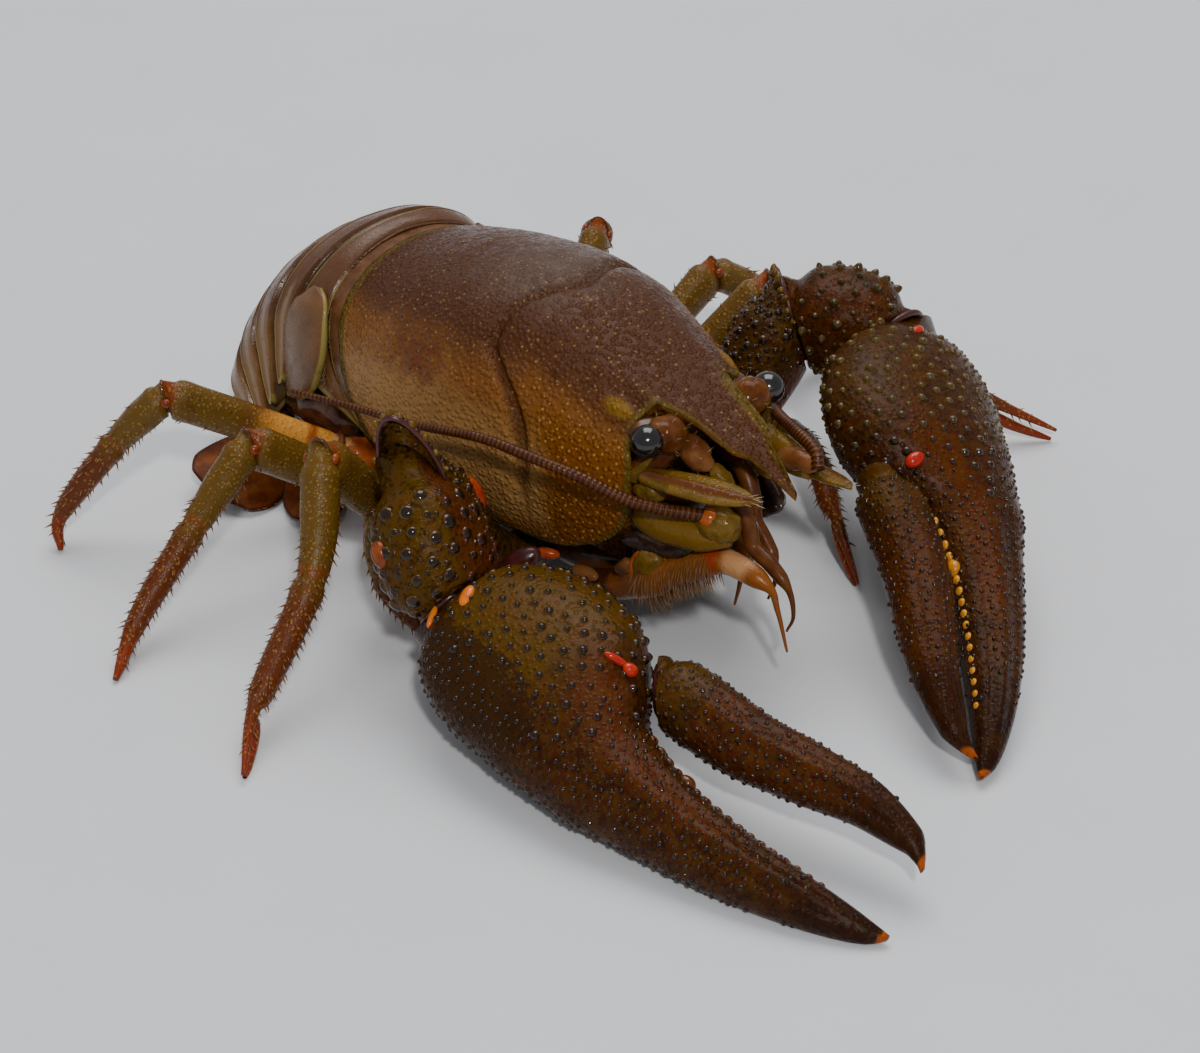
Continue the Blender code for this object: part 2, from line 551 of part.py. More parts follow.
# Each walking leg: hip, a point on the thigh, knee, wrist, finger root and tip
LEGS = {
    "leg2_r": [(-9.8, 8.6, 6.6), (-19.0, 8.2, 8.6), (-28.6, 6.4, 14.6), (-29.8, 3.2, 8.2), (-27.6, -0.8, 3.2),
               (-26.4, -2.2, 0.25)],
    "leg3_r": [(-9.8, 13.8, 6.6), (-20.4, 13.0, 9.8), (-34.2, 9.0, 24.8), (-40.2, 3.4, 14.0), (-52.6, -2.2, 4.4),
               (-58.8, -8.0, 0.25)],
    "leg4_r": [(-9.8, 19.2, 6.6), (-18.4, 20.6, 8.6), (-34.8, 23.4, 20.2), (-42.3, 23.9, 12.2), (-52.8, 21.6, 4.2),
               (-59.4, 17.4, 0.25)],
    "leg5_r": [(-9.8, 24.6, 6.8), (-17.4, 29.4, 9.6), (-36.0, 39.3, 20.2), (-40.8, 43.2, 13.8), (-47.6, 46.8, 4.2),
               (-49.3, 45.1, 0.25)],
    "leg2_l": [(9.8, 8.6, 6.6), (19.5, 7.4, 5.6), (30.2, -1.0, 8.2), (27.4, -9.4, 9.4), (23.4, -17.2, 6.6),
               (21.2, -24.2, 0.25)],
    "leg3_l": [(9.8, 13.8, 6.6), (20.4, 13.4, 9.6), (35.4, 8.4, 23.0), (43.8, 2.4, 15.4), (56.0, -8.2, 6.6),
               (64.6, -15.8, 0.8)],
    "leg4_l": [(9.8, 19.2, 6.6), (18.8, 20.4, 8.4), (37.4, 21.2, 19.2), (45.6, 18.6, 13.4), (53.6, 17.4, 5.2),
               (58.6, 16.4, 0.25)],
    "leg5_l": [(9.8, 24.6, 6.8), (17.8, 29.0, 9.6), (32.4, 38.6, 19.6), (36.2, 44.0, 13.6), (36.0, 49.0, 5.0),
               (34.8, 51.0, 0.25)],
}
THIGH_WIDTH = [(0.0, 2.0), (0.25, 1.7), (0.5, 1.9), (0.85, 2.1), (1.0, 1.75)]
SHIN_WIDTH = [(0.0, 1.7), (0.14, 1.9), (0.3, 1.6), (0.36, 1.5), (0.55, 1.45), (0.78, 1.1), (0.84, 0.85), (0.93, 0.6),
              (1.0, 0.3)]
LEG_SIZE = {"leg2": 1.0, "leg3": 1.25, "leg4": 1.15, "leg5": 1.12}
PINCER_LEGS = ("leg2", "leg3")
# A small pincer: how narrow and how far aside its fixed finger is, and the moving finger's half widths
FIXED_SHARE = 0.62
MOVING_HALF_WIDTHS = np.array([0.4, 0.62, 0.6, 0.5, 0.4, 0.2])
MOVING_ASIDE = (0.75, 0.95, 0.55)


def make_leg(name, points):
    """Build the thigh and the shin of a walking leg, and the moving finger of a small pincer."""
    hip, thigh, knee, wrist, root, tip = [np.array(p) for p in points]
    size = LEG_SIZE[name[:4]]
    normal = unit(unit(knee - thigh) + unit(wrist - knee))
    path = route([hip, thigh, knee], 7)
    wide = smooth(THIGH_WIDTH, np.linspace(0, 1, 7)) * size
    add_tube(name + "_thigh", LEG_AMBER, path, wide * 0.85, wide * 1.1, sides=8,
             cuts=(None, (knee - normal * GAP / 2, normal)))
    rows = 13
    path = route([knee, wrist, root, tip], rows)
    wide = smooth(SHIN_WIDTH, np.linspace(0, 1, rows)) * size
    outward = unit(np.cross(wrist - knee, (0, 0, 1)))
    cuts = ((knee + normal * GAP / 2, -normal), None)
    if name[:4] not in PINCER_LEGS:
        add_tube(name + "_shin", LEG_AMBER, path, wide, wide, up=outward, sides=8, cuts=cuts)
        return
    aside = unit(np.cross(tip - root, outward)) * size
    reach = np.linalg.norm(root - tip)
    split = [k for k in range(rows) if np.linalg.norm(path[k] - tip) < reach]
    fixed = path.copy()
    narrow = wide.copy()
    for k in split:
        fixed[k] = path[k] - aside * FIXED_SHARE
        narrow[k] = wide[k] * FIXED_SHARE
    add_tube(name + "_shin", LEG_AMBER, fixed, narrow, narrow, up=outward, sides=8, cuts=cuts)
    start = path[split[0]] + (tip - root) * 0.12
    stations = [at + aside * out for at, out in zip((start, (start + tip) / 2, tip), MOVING_ASIDE)]
    finger = route(stations, len(MOVING_HALF_WIDTHS))
    sizes = MOVING_HALF_WIDTHS * size
    add_tube(name + "_finger", LEG_AMBER, finger, sizes, sizes, up=outward, sides=6)


def ball(name, mat, centre, radius, axis, sides=14, rings=8):
    """Make a ball whose poles lie on an axis."""
    axis = unit(axis)
    angles = np.linspace(0.2, pi - 0.2, rings)
    path = [np.array(centre) - axis * cos(a) * radius for a in angles]
    sizes = [radius * sin(a) for a in angles]
    add_tube(name, mat, path, sizes, sizes, sides=sides)


# The chest's underside and the wall between the eyes: place along Y, height, half width and half height
STERNUM = [(-13.5, 8.5, 5.4, 2.6), (-6, 7.0, 7.6, 3.2), (4, 6.4, 8.2, 3.0), (14, 6.2, 8.4, 2.8), (24, 6.2, 8.0, 2.8),
           (31, 6.6, 7.4, 2.6), (34.0, 7.2, 5.6, 1.9)]
FACE = [(-17.0, 17.6, 5.0, 3.6), (-17.9, 17.7, 5.0, 5.1), (-19.0, 17.9, 4.2, 5.3), (-19.9, 18.1, 2.8, 4.0)]
# The left eye and the root of its stalk; the right ones stand opposite
EYE_AT = (9.3, -20.0, 31.0)
STALK_ROOT = (4.9, -18.2, 29.2)
EYE_RADIUS = 1.95
EYE_GAP = 0.25
# Routes of the feelers, their bases and scales, and the mouth limbs, for the right and the left side
ANTENNA_BASE = {"r": [(-8.4, -18.6, 20.4), (-8.2, -21.5, 20.4), (-6.6, -26.4, 20.5), (-5.2, -29.8, 21.2)],
                "l": [(9.6, -19.4, 23.6), (9.5, -22.0, 23.7), (9.0, -26.0, 23.6), (8.5, -28.4, 23.9)]}
ANTENNA_BASE_SIZE = {"r": [2.1, 2.4, 2.1, 1.2], "l": [1.5, 1.8, 1.7, 1.1]}
ANTENNA = {"r": [(-5.9, -28.6, 23.4), (-8.0, -26.6, 23.9), (-10.5, -24.3, 24.4), (-13.5, -21.3, 25.5),
                 (-17.0, -16.8, 27.9), (-19.5, -11.0, 28.8), (-21.0, -4.1, 28.6), (-22.5, 7.0, 25.9),
                 (-24.5, 17.6, 24.4), (-26.4, 26.0, 23.2)],
           "l": [(8.0, -30.2, 25.2), (8.9, -28.9, 26.3), (9.6, -26.6, 26.6), (10.4, -23.8, 26.4),
                 (11.9, -19.9, 25.7), (14.1, -15.2, 24.6), (16.7, -8.0, 23.2), (18.9, 0.0, 22.0),
                 (20.0, 10.0, 21.3), (19.7, 20.0, 20.9), (19.0, 27.0, 20.6)]}
SCALE = {"r": [(-9.6, -19.6, 26.4), (-5.6, -34.6, 28.4)], "l": [(12.6, -20.4, 20.2), (8.6, -35.1, 24.8)]}
ANTENNULE = {"r": [(-2.6, -19.4, 26.0), (-2.4, -26.0, 24.8), (-2.1, -29.2, 21.8), (-2.0, -30.4, 18.8),
                   (-2.0, -33.4, 17.8), (-1.9, -36.4, 15.8), (-1.8, -37.2, 12.6), (-2.2, -36.6, 10.4)],
             "l": [(2.4, -19.4, 26.0), (1.9, -24.0, 24.8), (1.4, -26.4, 22.0), (1.2, -27.0, 19.5),
                   (1.1, -29.0, 17.8), (0.8, -31.0, 16.0), (0.4, -31.6, 13.4), (-0.4, -31.4, 11.4)]}
MAXILLIPED = {"r": [(-9.0, -9.0, 6.2), (-8.8, -14.8, 8.6), (-8.4, -20.2, 12.4), (-6.6, -24.8, 15.3),
                    (-4.9, -28.6, 17.2), (-3.8, -34.8, 16.4), (-3.2, -36.0, 13.4), (-2.6, -37.2, 8.0)],
              "l": [(9.0, -9.0, 6.2), (8.8, -14.0, 8.2), (7.6, -18.8, 10.8), (5.4, -21.4, 12.4),
                    (3.4, -22.8, 13.0), (2.0, -24.4, 11.8), (1.2, -24.8, 9.4), (0.8, -24.4, 6.4)]}
SCALE_HALF_WIDTH = [(0, 1.0), (0.3, 1.8), (0.6, 2.0), (0.85, 1.4), (1.0, 0.2)]
# Half widths along the small feelers and the mouth limbs, and the feelers' from root to tip
FEELER_THICK = 0.8
FEELER_THIN = 0.35
ANTENNULE_SIZE = [(0.0, 1.0), (0.3, 1.1), (0.5, 1.0), (0.72, 0.85), (0.8, 0.4), (1.0, 0.15)]
MAXILLIPED_SIZE = [(0.0, 1.6), (0.2, 2.0), (0.34, 2.6), (0.42, 1.9), (0.55, 1.8), (0.62, 1.5), (0.72, 1.3),
                   (0.8, 0.45), (1.0, 0.15)]


def make_head():
    """Build the eyes, feelers, feeler scales and mouth limbs that stand before the wall of the face."""
    for side, sign in (("r", -1), ("l", 1)):
        mirror = np.array([sign, 1, 1])
        eye = EYE_AT * mirror
        inner_end = STALK_ROOT * mirror
        axis = unit(eye - inner_end)
        ball("eye_" + side, EYE_BLACK, eye, EYE_RADIUS, axis)
        stalk_end = eye - axis * (EYE_RADIUS + EYE_GAP)
        add_tube("eyestalk_" + side, MOUTH_AMBER, [inner_end, (inner_end + stalk_end) / 2, stalk_end],
                 [1.2, 1.55, 1.5], [1.2, 1.5, 1.45])
        share = np.linspace(0, 1, 6)
        sizes = np.interp(share, [0.0, 0.3, 0.7, 1.0], ANTENNA_BASE_SIZE[side])
        add_tube("antenna_base_" + side, MOUTH_AMBER, route(ANTENNA_BASE[side], 6), sizes, sizes)
        sizes = np.linspace(FEELER_THICK, FEELER_THIN, 26)
        add_tube("antenna_" + side, FEELER_BROWN, route(ANTENNA[side], 26), sizes, sizes, sides=6)
        root, tip = SCALE[side]
        plate("antenna_scale_" + side, root, tip, (sign, 0, 0.25), SCALE_HALF_WIDTH, 0.9, SHELL_BROWN)
        share = np.linspace(0, 1, 15)
        sizes = smooth(ANTENNULE_SIZE, share)
        add_tube("antennule_" + side, FEELER_BROWN, route(ANTENNULE[side], 15), sizes, sizes, up=(1, 0, 0), sides=6)
        sizes = smooth(MAXILLIPED_SIZE, share)
        add_tube("maxilliped_" + side, MOUTH_AMBER, route(MAXILLIPED[side], 15), sizes, sizes, up=(1, 0, 0.2),
                 sides=8)


make_shield()
for somite in range(6):
    make_somite(somite)
make_tail_fan()
add_block("sternum", STERNUM, 12, 3.0)
add_block("face", FACE, 14, 2.6)
make_claw("r", CLAW_R)
make_claw("l", CLAW_L)
for leg_name, leg_points in LEGS.items():
    make_leg(leg_name, leg_points)
make_head()
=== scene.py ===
"""Looks of a whole crayfish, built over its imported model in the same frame."""

import bpy
import bmesh
import numpy as np
from math import pi, sin, cos, radians
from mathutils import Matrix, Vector


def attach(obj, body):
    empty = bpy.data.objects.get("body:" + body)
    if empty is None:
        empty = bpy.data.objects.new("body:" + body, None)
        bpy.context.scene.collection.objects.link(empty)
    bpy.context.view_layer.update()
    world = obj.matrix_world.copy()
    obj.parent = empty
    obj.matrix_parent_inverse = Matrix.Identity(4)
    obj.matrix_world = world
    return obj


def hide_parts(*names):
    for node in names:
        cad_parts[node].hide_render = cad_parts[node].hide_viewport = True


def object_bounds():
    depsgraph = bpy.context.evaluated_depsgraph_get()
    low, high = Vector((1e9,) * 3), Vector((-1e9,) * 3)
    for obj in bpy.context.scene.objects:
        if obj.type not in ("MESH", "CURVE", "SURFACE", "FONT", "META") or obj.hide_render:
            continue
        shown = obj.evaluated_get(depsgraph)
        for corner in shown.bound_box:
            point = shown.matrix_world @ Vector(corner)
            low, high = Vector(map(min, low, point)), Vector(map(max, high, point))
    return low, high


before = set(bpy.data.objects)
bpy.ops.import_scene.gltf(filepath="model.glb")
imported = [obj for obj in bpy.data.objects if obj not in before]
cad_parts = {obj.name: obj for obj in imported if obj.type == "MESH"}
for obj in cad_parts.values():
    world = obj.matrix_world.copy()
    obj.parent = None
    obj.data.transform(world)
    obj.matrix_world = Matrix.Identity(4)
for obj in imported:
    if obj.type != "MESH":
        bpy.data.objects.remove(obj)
cad_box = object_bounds()

# ---- Sizes shared with the solids, in millimetres, before the shift to the footprint's centre
MM = 0.001
GAP = 0.3
BODY_AT = np.array([-2.71, 8.479, 0.0])
ORBIT_Y = -17.2
ROSTRUM_TIP_Y = -35.0
ROSTRUM_SHARE = 0.155
WIDE_SHARE = 0.62
SHIELD_ROUNDNESS = 0.93
HALF_WIDTH = [(-24, 10.2), (-19, 11.6), (-13, 13.2), (-6, 15.0), (2, 16.8), (10, 17.8), (20, 17.6),
              (30, 16.0), (36, 14.6)]
TOP = [(-24, 30.8), (-17, 33.4), (-11, 35.4), (-5, 37.4), (2, 39.2), (10, 38.8), (20, 36.8), (30, 33.9),
       (36, 31.6)]
WIDEST_HEIGHT = [(-24, 22.5), (-10, 22.0), (4, 21.2), (20, 20.5), (36, 19.5)]
LOWER_MARGIN = [(-24, 11.6), (-8, 11.6), (2, 11.4), (14, 10.8), (26, 10.2), (36, 10.4)]
REAR_MARGIN = [(0.0, 35.0), (0.35, 33.8), (0.62, 30.3), (0.8, 27.6), (1.0, 24.0)]
FRONT_MARGIN = [(0.155, -17.2), (0.25, -16.6), (0.36, -17.4), (0.48, -18.9), (0.62, -19.2), (0.72, -18.4),
                (0.82, -16.0), (0.9, -12.6), (0.96, -9.0), (1.0, -5.5)]
GROOVE_LINE = [(0.0, 2.2), (0.2, 5.8), (0.3, 5.0), (0.36, 2.2), (0.42, -0.8), (0.5, -3.2), (0.6, -4.2),
               (0.8, -4.0), (1.0, -1.0)]
GROOVE_DEPTH = [(0.0, 0.9), (0.3, 1.1), (0.45, 1.2), (0.6, 0.9), (0.8, 0.5), (1.0, 0.1)]
GROOVE_WIDTH = 1.1
ROSTRUM_HALF_WIDTH = [(-35, 0.2), (-32, 1.05), (-28.6, 1.9), (-27.0, 3.15), (-26.0, 3.4), (-22, 4.0),
                      (-17.2, 5.3)]
ROSTRUM_MIDDLE = [(-35, 27.2), (-31, 28.6), (-27, 30.2), (-22, 31.8), (-17.2, 33.3)]
ROSTRUM_RIM = 0.9
BACK_LINE = [(36.4, 32.0), (41.5, 31.5), (47.4, 28.6), (52.6, 23.2), (56.6, 15.8), (58.2, 9.0), (56.6, 3.4),
             (51.4, 1.0)]
TAIL_HUB = (43.0, 2.0)
SOMITE_EDGES = [0.0, 0.085, 0.2, 0.36, 0.53, 0.72, 1.0]
TAIL_HALF_WIDTH = [(0.0, 14.0), (0.25, 15.4), (0.5, 15.4), (0.75, 14.2), (1.0, 11.0)]
TAIL_ARCH = [(0.0, 12.0), (0.4, 11.0), (0.75, 8.0), (1.0, 4.0)]
PLEURON_LENGTH = [(0.0, 4.0), (0.25, 8.0), (0.6, 5.5), (0.9, 2.4), (1.0, 1.2)]
TAIL_BEND = 5.0
TILE_STEP = 0.7
PALM_MIDDLE = [(0, -0.2), (3, -0.1), (8, 0.1), (14, 0.1), (19, -0.4), (23, -1.6), (26, -3.2), (29.5, -4.9),
               (38, -5.2), (46, -4.7), (54, -3.5), (61, -2.0), (64.5, -1.0), (66, -0.2)]
PALM_HALF_WIDTH = [(0, 6.4), (3, 8.8), (8, 11.1), (13, 11.9), (18, 11.8), (23, 10.4), (26, 8.7), (29.5, 6.9),
                   (38, 5.0), (46, 4.1), (54, 3.2), (61, 2.1), (64.5, 1.2), (66, 0.4)]
PALM_HALF_THICKNESS = [(0, 4.6), (4, 5.8), (10, 6.6), (18, 6.8), (25, 6.0), (32, 5.0), (40, 4.1), (50, 3.3),
                       (58, 2.5), (63, 1.5), (66, 0.45)]
PALM_RISE = [(0, 0.0), (26, 0.3), (54, 0.0), (66, -0.9)]
FINGER_START = 23.6
FINGER_END = 64.0
HINGE_AT = (26.9, 6.6)
HINGE_FACE = (0.76, 0.65)
FINGER_MIDDLE = [(23.6, 6.4), (27, 7.2), (37.5, 7.3), (47, 8.8), (55.6, 10.1), (61, 9.9), (63, 8.9),
                 (64, 8.0)]
FINGER_HALF_WIDTH = [(23.6, 2.2), (26, 3.6), (31, 4.3), (37.5, 4.1), (47, 3.6), (55.6, 2.6), (61, 1.6),
                     (64, 0.4)]
FINGER_HALF_THICKNESS = [(23.6, 2.4), (27, 3.9), (37, 3.7), (47, 3.1), (56, 2.3), (61, 1.5), (64, 0.4)]
CLAWS = {"r": dict(hip=(-9.2, 1.2, 6.4), elbow=(-28.0, -0.5, 23.5), wrist=(-30.5, -11.0, 12.5),
                   tip=(-23.4, -75.0, 1.8), closed=0.0),
         "l": dict(hip=(9.2, 1.2, 6.4), elbow=(31.8, 0.6, 24.4), wrist=(39.6, -10.6, 22.0),
                   tip=(4.0, -63.2, 1.8), closed=7.2)}
CLAW_LIFT = 25.0
UNDER_SHIELD = np.array([0.0, 0.0, -3.4])
LEGS = {
    "leg2_r": [(-9.8, 8.6, 6.6), (-19.0, 8.2, 8.6), (-28.6, 6.4, 14.6), (-29.8, 3.2, 8.2), (-27.6, -0.8, 3.2),
               (-26.4, -2.2, 0.25)],
    "leg3_r": [(-9.8, 13.8, 6.6), (-20.4, 13.0, 9.8), (-34.2, 9.0, 24.8), (-40.2, 3.4, 14.0),
               (-52.6, -2.2, 4.4), (-58.8, -8.0, 0.25)],
    "leg4_r": [(-9.8, 19.2, 6.6), (-18.4, 20.6, 8.6), (-34.8, 23.4, 20.2), (-42.3, 23.9, 12.2),
               (-52.8, 21.6, 4.2), (-59.4, 17.4, 0.25)],
    "leg5_r": [(-9.8, 24.6, 6.8), (-17.4, 29.4, 9.6), (-36.0, 39.3, 20.2), (-40.8, 43.2, 13.8),
               (-47.6, 46.8, 4.2), (-49.3, 45.1, 0.25)],
    "leg2_l": [(9.8, 8.6, 6.6), (19.5, 7.4, 5.6), (30.2, -1.0, 8.2), (27.4, -9.4, 9.4), (23.4, -17.2, 6.6),
               (21.2, -24.2, 0.25)],
    "leg3_l": [(9.8, 13.8, 6.6), (20.4, 13.4, 9.6), (35.4, 8.4, 23.0), (43.8, 2.4, 15.4), (56.0, -8.2, 6.6),
               (64.6, -15.8, 0.8)],
    "leg4_l": [(9.8, 19.2, 6.6), (18.8, 20.4, 8.4), (37.4, 21.2, 19.2), (45.6, 18.6, 13.4), (53.6, 17.4, 5.2),
               (58.6, 16.4, 0.25)],
    "leg5_l": [(9.8, 24.6, 6.8), (17.8, 29.0, 9.6), (32.4, 38.6, 19.6), (36.2, 44.0, 13.6), (36.0, 49.0, 5.0),
               (34.8, 51.0, 0.25)],
}
THIGH_WIDTH = [(0.0, 2.0), (0.25, 1.7), (0.5, 1.9), (0.85, 2.1), (1.0, 1.75)]
SHIN_WIDTH = [(0.0, 1.7), (0.14, 1.9), (0.3, 1.6), (0.36, 1.5), (0.55, 1.45), (0.78, 1.1), (0.84, 0.85),
              (0.93, 0.6), (1.0, 0.3)]
LEG_SIZE = {"leg2": 1.0, "leg3": 1.25, "leg4": 1.15, "leg5": 1.12}
PINCER_LEGS = ("leg2", "leg3")
EYE_AT = (9.3, -20.0, 31.0)
EYE_RADIUS = 1.95
ANTENNA_BASE = {"r": [(-8.4, -18.6, 20.4), (-8.2, -21.5, 20.4), (-6.6, -26.4, 20.5), (-5.2, -29.8, 21.2)],
                "l": [(9.6, -19.4, 23.6), (9.5, -22.0, 23.7), (9.0, -26.0, 23.6), (8.5, -28.4, 23.9)]}
ANTENNA_BASE_SIZE = {"r": [2.1, 2.4, 2.1, 1.2], "l": [1.5, 1.8, 1.7, 1.1]}
ANTENNA = {"r": [(-5.9, -28.6, 23.4), (-8.0, -26.6, 23.9), (-10.5, -24.3, 24.4), (-13.5, -21.3, 25.5),
                 (-17.0, -16.8, 27.9), (-19.5, -11.0, 28.8), (-21.0, -4.1, 28.6), (-22.5, 7.0, 25.9),
                 (-24.5, 17.6, 24.4), (-26.4, 26.0, 23.2)],
           "l": [(8.0, -30.2, 25.2), (8.9, -28.9, 26.3), (9.6, -26.6, 26.6), (10.4, -23.8, 26.4),
                 (11.9, -19.9, 25.7), (14.1, -15.2, 24.6), (16.7, -8.0, 23.2), (18.9, 0.0, 22.0),
                 (20.0, 10.0, 21.3), (19.7, 20.0, 20.9), (19.0, 27.0, 20.6)]}
SCALE = {"r": [(-9.6, -19.6, 26.4), (-5.6, -34.6, 28.4)], "l": [(12.6, -20.4, 20.2), (8.6, -35.1, 24.8)]}
ANTENNULE = {"r": [(-2.6, -19.4, 26.0), (-2.4, -26.0, 24.8), (-2.1, -29.2, 21.8), (-2.0, -30.4, 18.8),
                   (-2.0, -33.4, 17.8), (-1.9, -36.4, 15.8), (-1.8, -37.2, 12.6), (-2.2, -36.6, 10.4)],
             "l": [(2.4, -19.4, 26.0), (1.9, -24.0, 24.8), (1.4, -26.4, 22.0), (1.2, -27.0, 19.5),
                   (1.1, -29.0, 17.8), (0.8, -31.0, 16.0), (0.4, -31.6, 13.4), (-0.4, -31.4, 11.4)]}
MAXILLIPED = {"r": [(-9.0, -9.0, 6.2), (-8.8, -14.8, 8.6), (-8.4, -20.2, 12.4), (-6.6, -24.8, 15.3),
                    (-4.9, -28.6, 17.2), (-3.8, -34.8, 16.4), (-3.2, -36.0, 13.4), (-2.6, -37.2, 8.0)],
              "l": [(9.0, -9.0, 6.2), (8.8, -14.0, 8.2), (7.6, -18.8, 10.8), (5.4, -21.4, 12.4),
                    (3.4, -22.8, 13.0), (2.0, -24.4, 11.8), (1.2, -24.8, 9.4), (0.8, -24.4, 6.4)]}
ANTENNULE_SIZE = [(0.0, 1.0), (0.3, 1.1), (0.5, 1.0), (0.72, 0.85), (0.8, 0.4), (1.0, 0.15)]
MAXILLIPED_SIZE = [(0.0, 1.6), (0.2, 2.0), (0.34, 2.6), (0.42, 1.9), (0.55, 1.8), (0.62, 1.5), (0.72, 1.3),
                   (0.8, 0.45), (1.0, 0.15)]
FEELER_ROWS = 576
FEELER_RING_ROWS = 6
# Copies set over a piece stay this far above the floor, in metres
FLOOR_CLEARANCE = 0.00005
# The animal's right and left, with the side of X that each lies on; the right is the near one
SIDES = (("r", -1), ("l", 1))
FAN_WIDTH = [(0.0, 0.25), (0.1, 0.5), (0.45, 0.9), (0.75, 1.0), (0.94, 0.78), (1.0, 0.4)]
# Where a thigh's pale root ends and where its red ring lies, as shares of its length
LEG_BANDS = {"leg2": (0.3, 0.3), "leg3": (0.42, 0.3), "leg4": (0.42, 0.3), "leg5": (0.58, 0.42)}
# How far soft parts swell and sink, in millimetres
UNEVEN = 0.28

# ---- Points along and round the larger pieces
SHELL_SIDE_COLUMNS = 96
BEAK_COLUMNS = 37
SHELL_REAR_ROWS = 90
SHELL_FRONT_ROWS = 104
BEAK_ROWS = 46
BEAK_RIBS = 13
TILE_GRID = (44, 141)
BACK_SKIN_GRID = (9, 120)
LOBE_GRID = (70, 64)
FAN_GRID = (60, 72)
ARM_GRID = (90, 88)
WRIST_GRID = (76, 96)
PALM_GRID = (230, 132)
FINGER_GRID = (170, 88)
THIGH_GRID = (56, 20)
SHIN_ROWS = 84
PINCER_GRID = (30, 14)
SCALE_GRID = (50, 40)
SMALL_FEELER_ROWS = 90

# ---- Whole numbers that stir a place into a random value
PRIMES = (73856093, 19349663, 83492791)
SEED_PRIME = 2654435
STIR_FIRST = 2246822519
STIR_LAST = 3266489917
WORD = 0xFFFFFFFF


# ---- Curves and surfaces
def smooth(stations, place):
    """Read the smooth curve that passes through (place, value) stations without overshoot."""
    x = np.array([s[0] for s in stations], float)
    y = np.array([s[1] for s in stations], float)
    run = np.diff(x)
    rise = np.diff(y) / run
    slope = np.zeros(len(x))
    for i in range(1, len(x) - 1):
        if rise[i - 1] * rise[i] > 0:
            slope[i] = 2 * rise[i - 1] * rise[i] / (rise[i - 1] + rise[i])
    slope[0] = rise[0]
    slope[-1] = rise[-1]
    t = np.clip(np.asarray(place, float), x[0], x[-1])
    i = np.clip(np.searchsorted(x, t, side="right") - 1, 0, len(run) - 1)
    u = (t - x[i]) / run[i]
    return ((1 + 2 * u) * (1 - u) ** 2 * y[i] + u * (1 - u) ** 2 * run[i] * slope[i]
            + u * u * (3 - 2 * u) * y[i + 1] - u * u * (1 - u) * run[i] * slope[i + 1])


def ease(low, high, value):
    t = np.clip((value - low) / (high - low), 0, 1)
    return t * t * (3 - 2 * t)


def bell(value, middle, width):
    return np.exp(-((value - middle) / width) ** 2)


def unit(v):
    v = np.asarray(v, float)
    return v / np.maximum(np.linalg.norm(v, axis=-1, keepdims=True), 1e-9)


def route(points, count):
    """Place count points evenly along the smooth curve through a few points."""
    p = np.array(points, float)
    p = np.vstack([2 * p[0] - p[1], p, 2 * p[-1] - p[-2]])
    fine = []
    for i in range(1, len(p) - 2):
        u = np.linspace(0, 1, 24, endpoint=False)[:, None]
        fine.append(0.5 * (2 * p[i] + (p[i + 1] - p[i - 1]) * u
                           + (2 * p[i - 1] - 5 * p[i] + 4 * p[i + 1] - p[i + 2]) * u * u
                           + (3 * p[i] - 3 * p[i + 1] + p[i + 2] - p[i - 1]) * u ** 3))
    fine = np.vstack(fine + [p[-2:-1]])
    far = np.concatenate([[0], np.cumsum(np.linalg.norm(np.diff(fine, axis=0), axis=1))])
    want = np.linspace(0, far[-1], count)
    return np.stack([np.interp(want, far, fine[:, k]) for k in range(3)], axis=1)


def wavy(p, size, seed):
    """Give smooth random values from -1 to 1 at points p, in lumps about size across."""
    q = p / size + seed * 17.31
    cell = np.floor(q).astype(np.int64)
    f = q - cell
    f = f * f * (3 - 2 * f)
    total = 0.0
    for dx in (0, 1):
        for dy in (0, 1):
            for dz in (0, 1):
                c = cell + np.array([dx, dy, dz])
                h = (c[..., 0] * PRIMES[0]) ^ (c[..., 1] * PRIMES[1]) ^ (c[..., 2] * PRIMES[2])
                h = ((h ^ (seed * SEED_PRIME)) * STIR_FIRST) & WORD
                h = ((h ^ (h >> 13)) * STIR_LAST) & WORD
                value = (h ^ (h >> 16)) / 2147483648.0 - 1.0
                weight = np.where(dx, f[..., 0], 1 - f[..., 0]) * np.where(dy, f[..., 1], 1 - f[..., 1])
                total = total + value * weight * np.where(dz, f[..., 2], 1 - f[..., 2])
    return total


def grid_normals(p, wrap):
    """Give the normals of a grid of points: rows along it, columns round it."""
    down = np.gradient(p, axis=0)
    if wrap:
        over = (np.roll(p, -1, axis=1) - np.roll(p, 1, axis=1)) / 2
    else:
        over = np.gradient(p, axis=1)
    return unit(np.cross(over, down))


def lumps(p, spacing, seed, stretch=1.0):
    """Give 0 to 1 dome heights of rounded grains set at uneven places all over a surface."""
    q = p / spacing
    cell = np.floor(q).astype(np.int64)
    best = np.full(p.shape[:-1], 9.0)
    for dx in (-1, 0, 1):
        for dy in (-1, 0, 1):
            for dz in (-1, 0, 1):
                c = cell + np.array([dx, dy, dz])
                spot = []
                for k, prime in enumerate(PRIMES):
                    h = (c[..., 0] * 2971 + c[..., 1] * 5171 + c[..., 2] * 8093
                         + seed * 977 + k * 331) * prime
                    h = (h & WORD) ^ ((h & WORD) >> 15)
                    h = (h * STIR_FIRST) & WORD
                    spot.append(((h >> 8) & 0xFFFF) / 65536.0)
                d = q - (c + 0.2 + 0.6 * np.stack(spot, axis=-1))
                d = d * np.array([1.0, 1.0 / stretch, 1.0])
                best = np.minimum(best, np.sum(d * d, axis=-1))
    return np.clip(1 - best / 0.2, 0, 1)


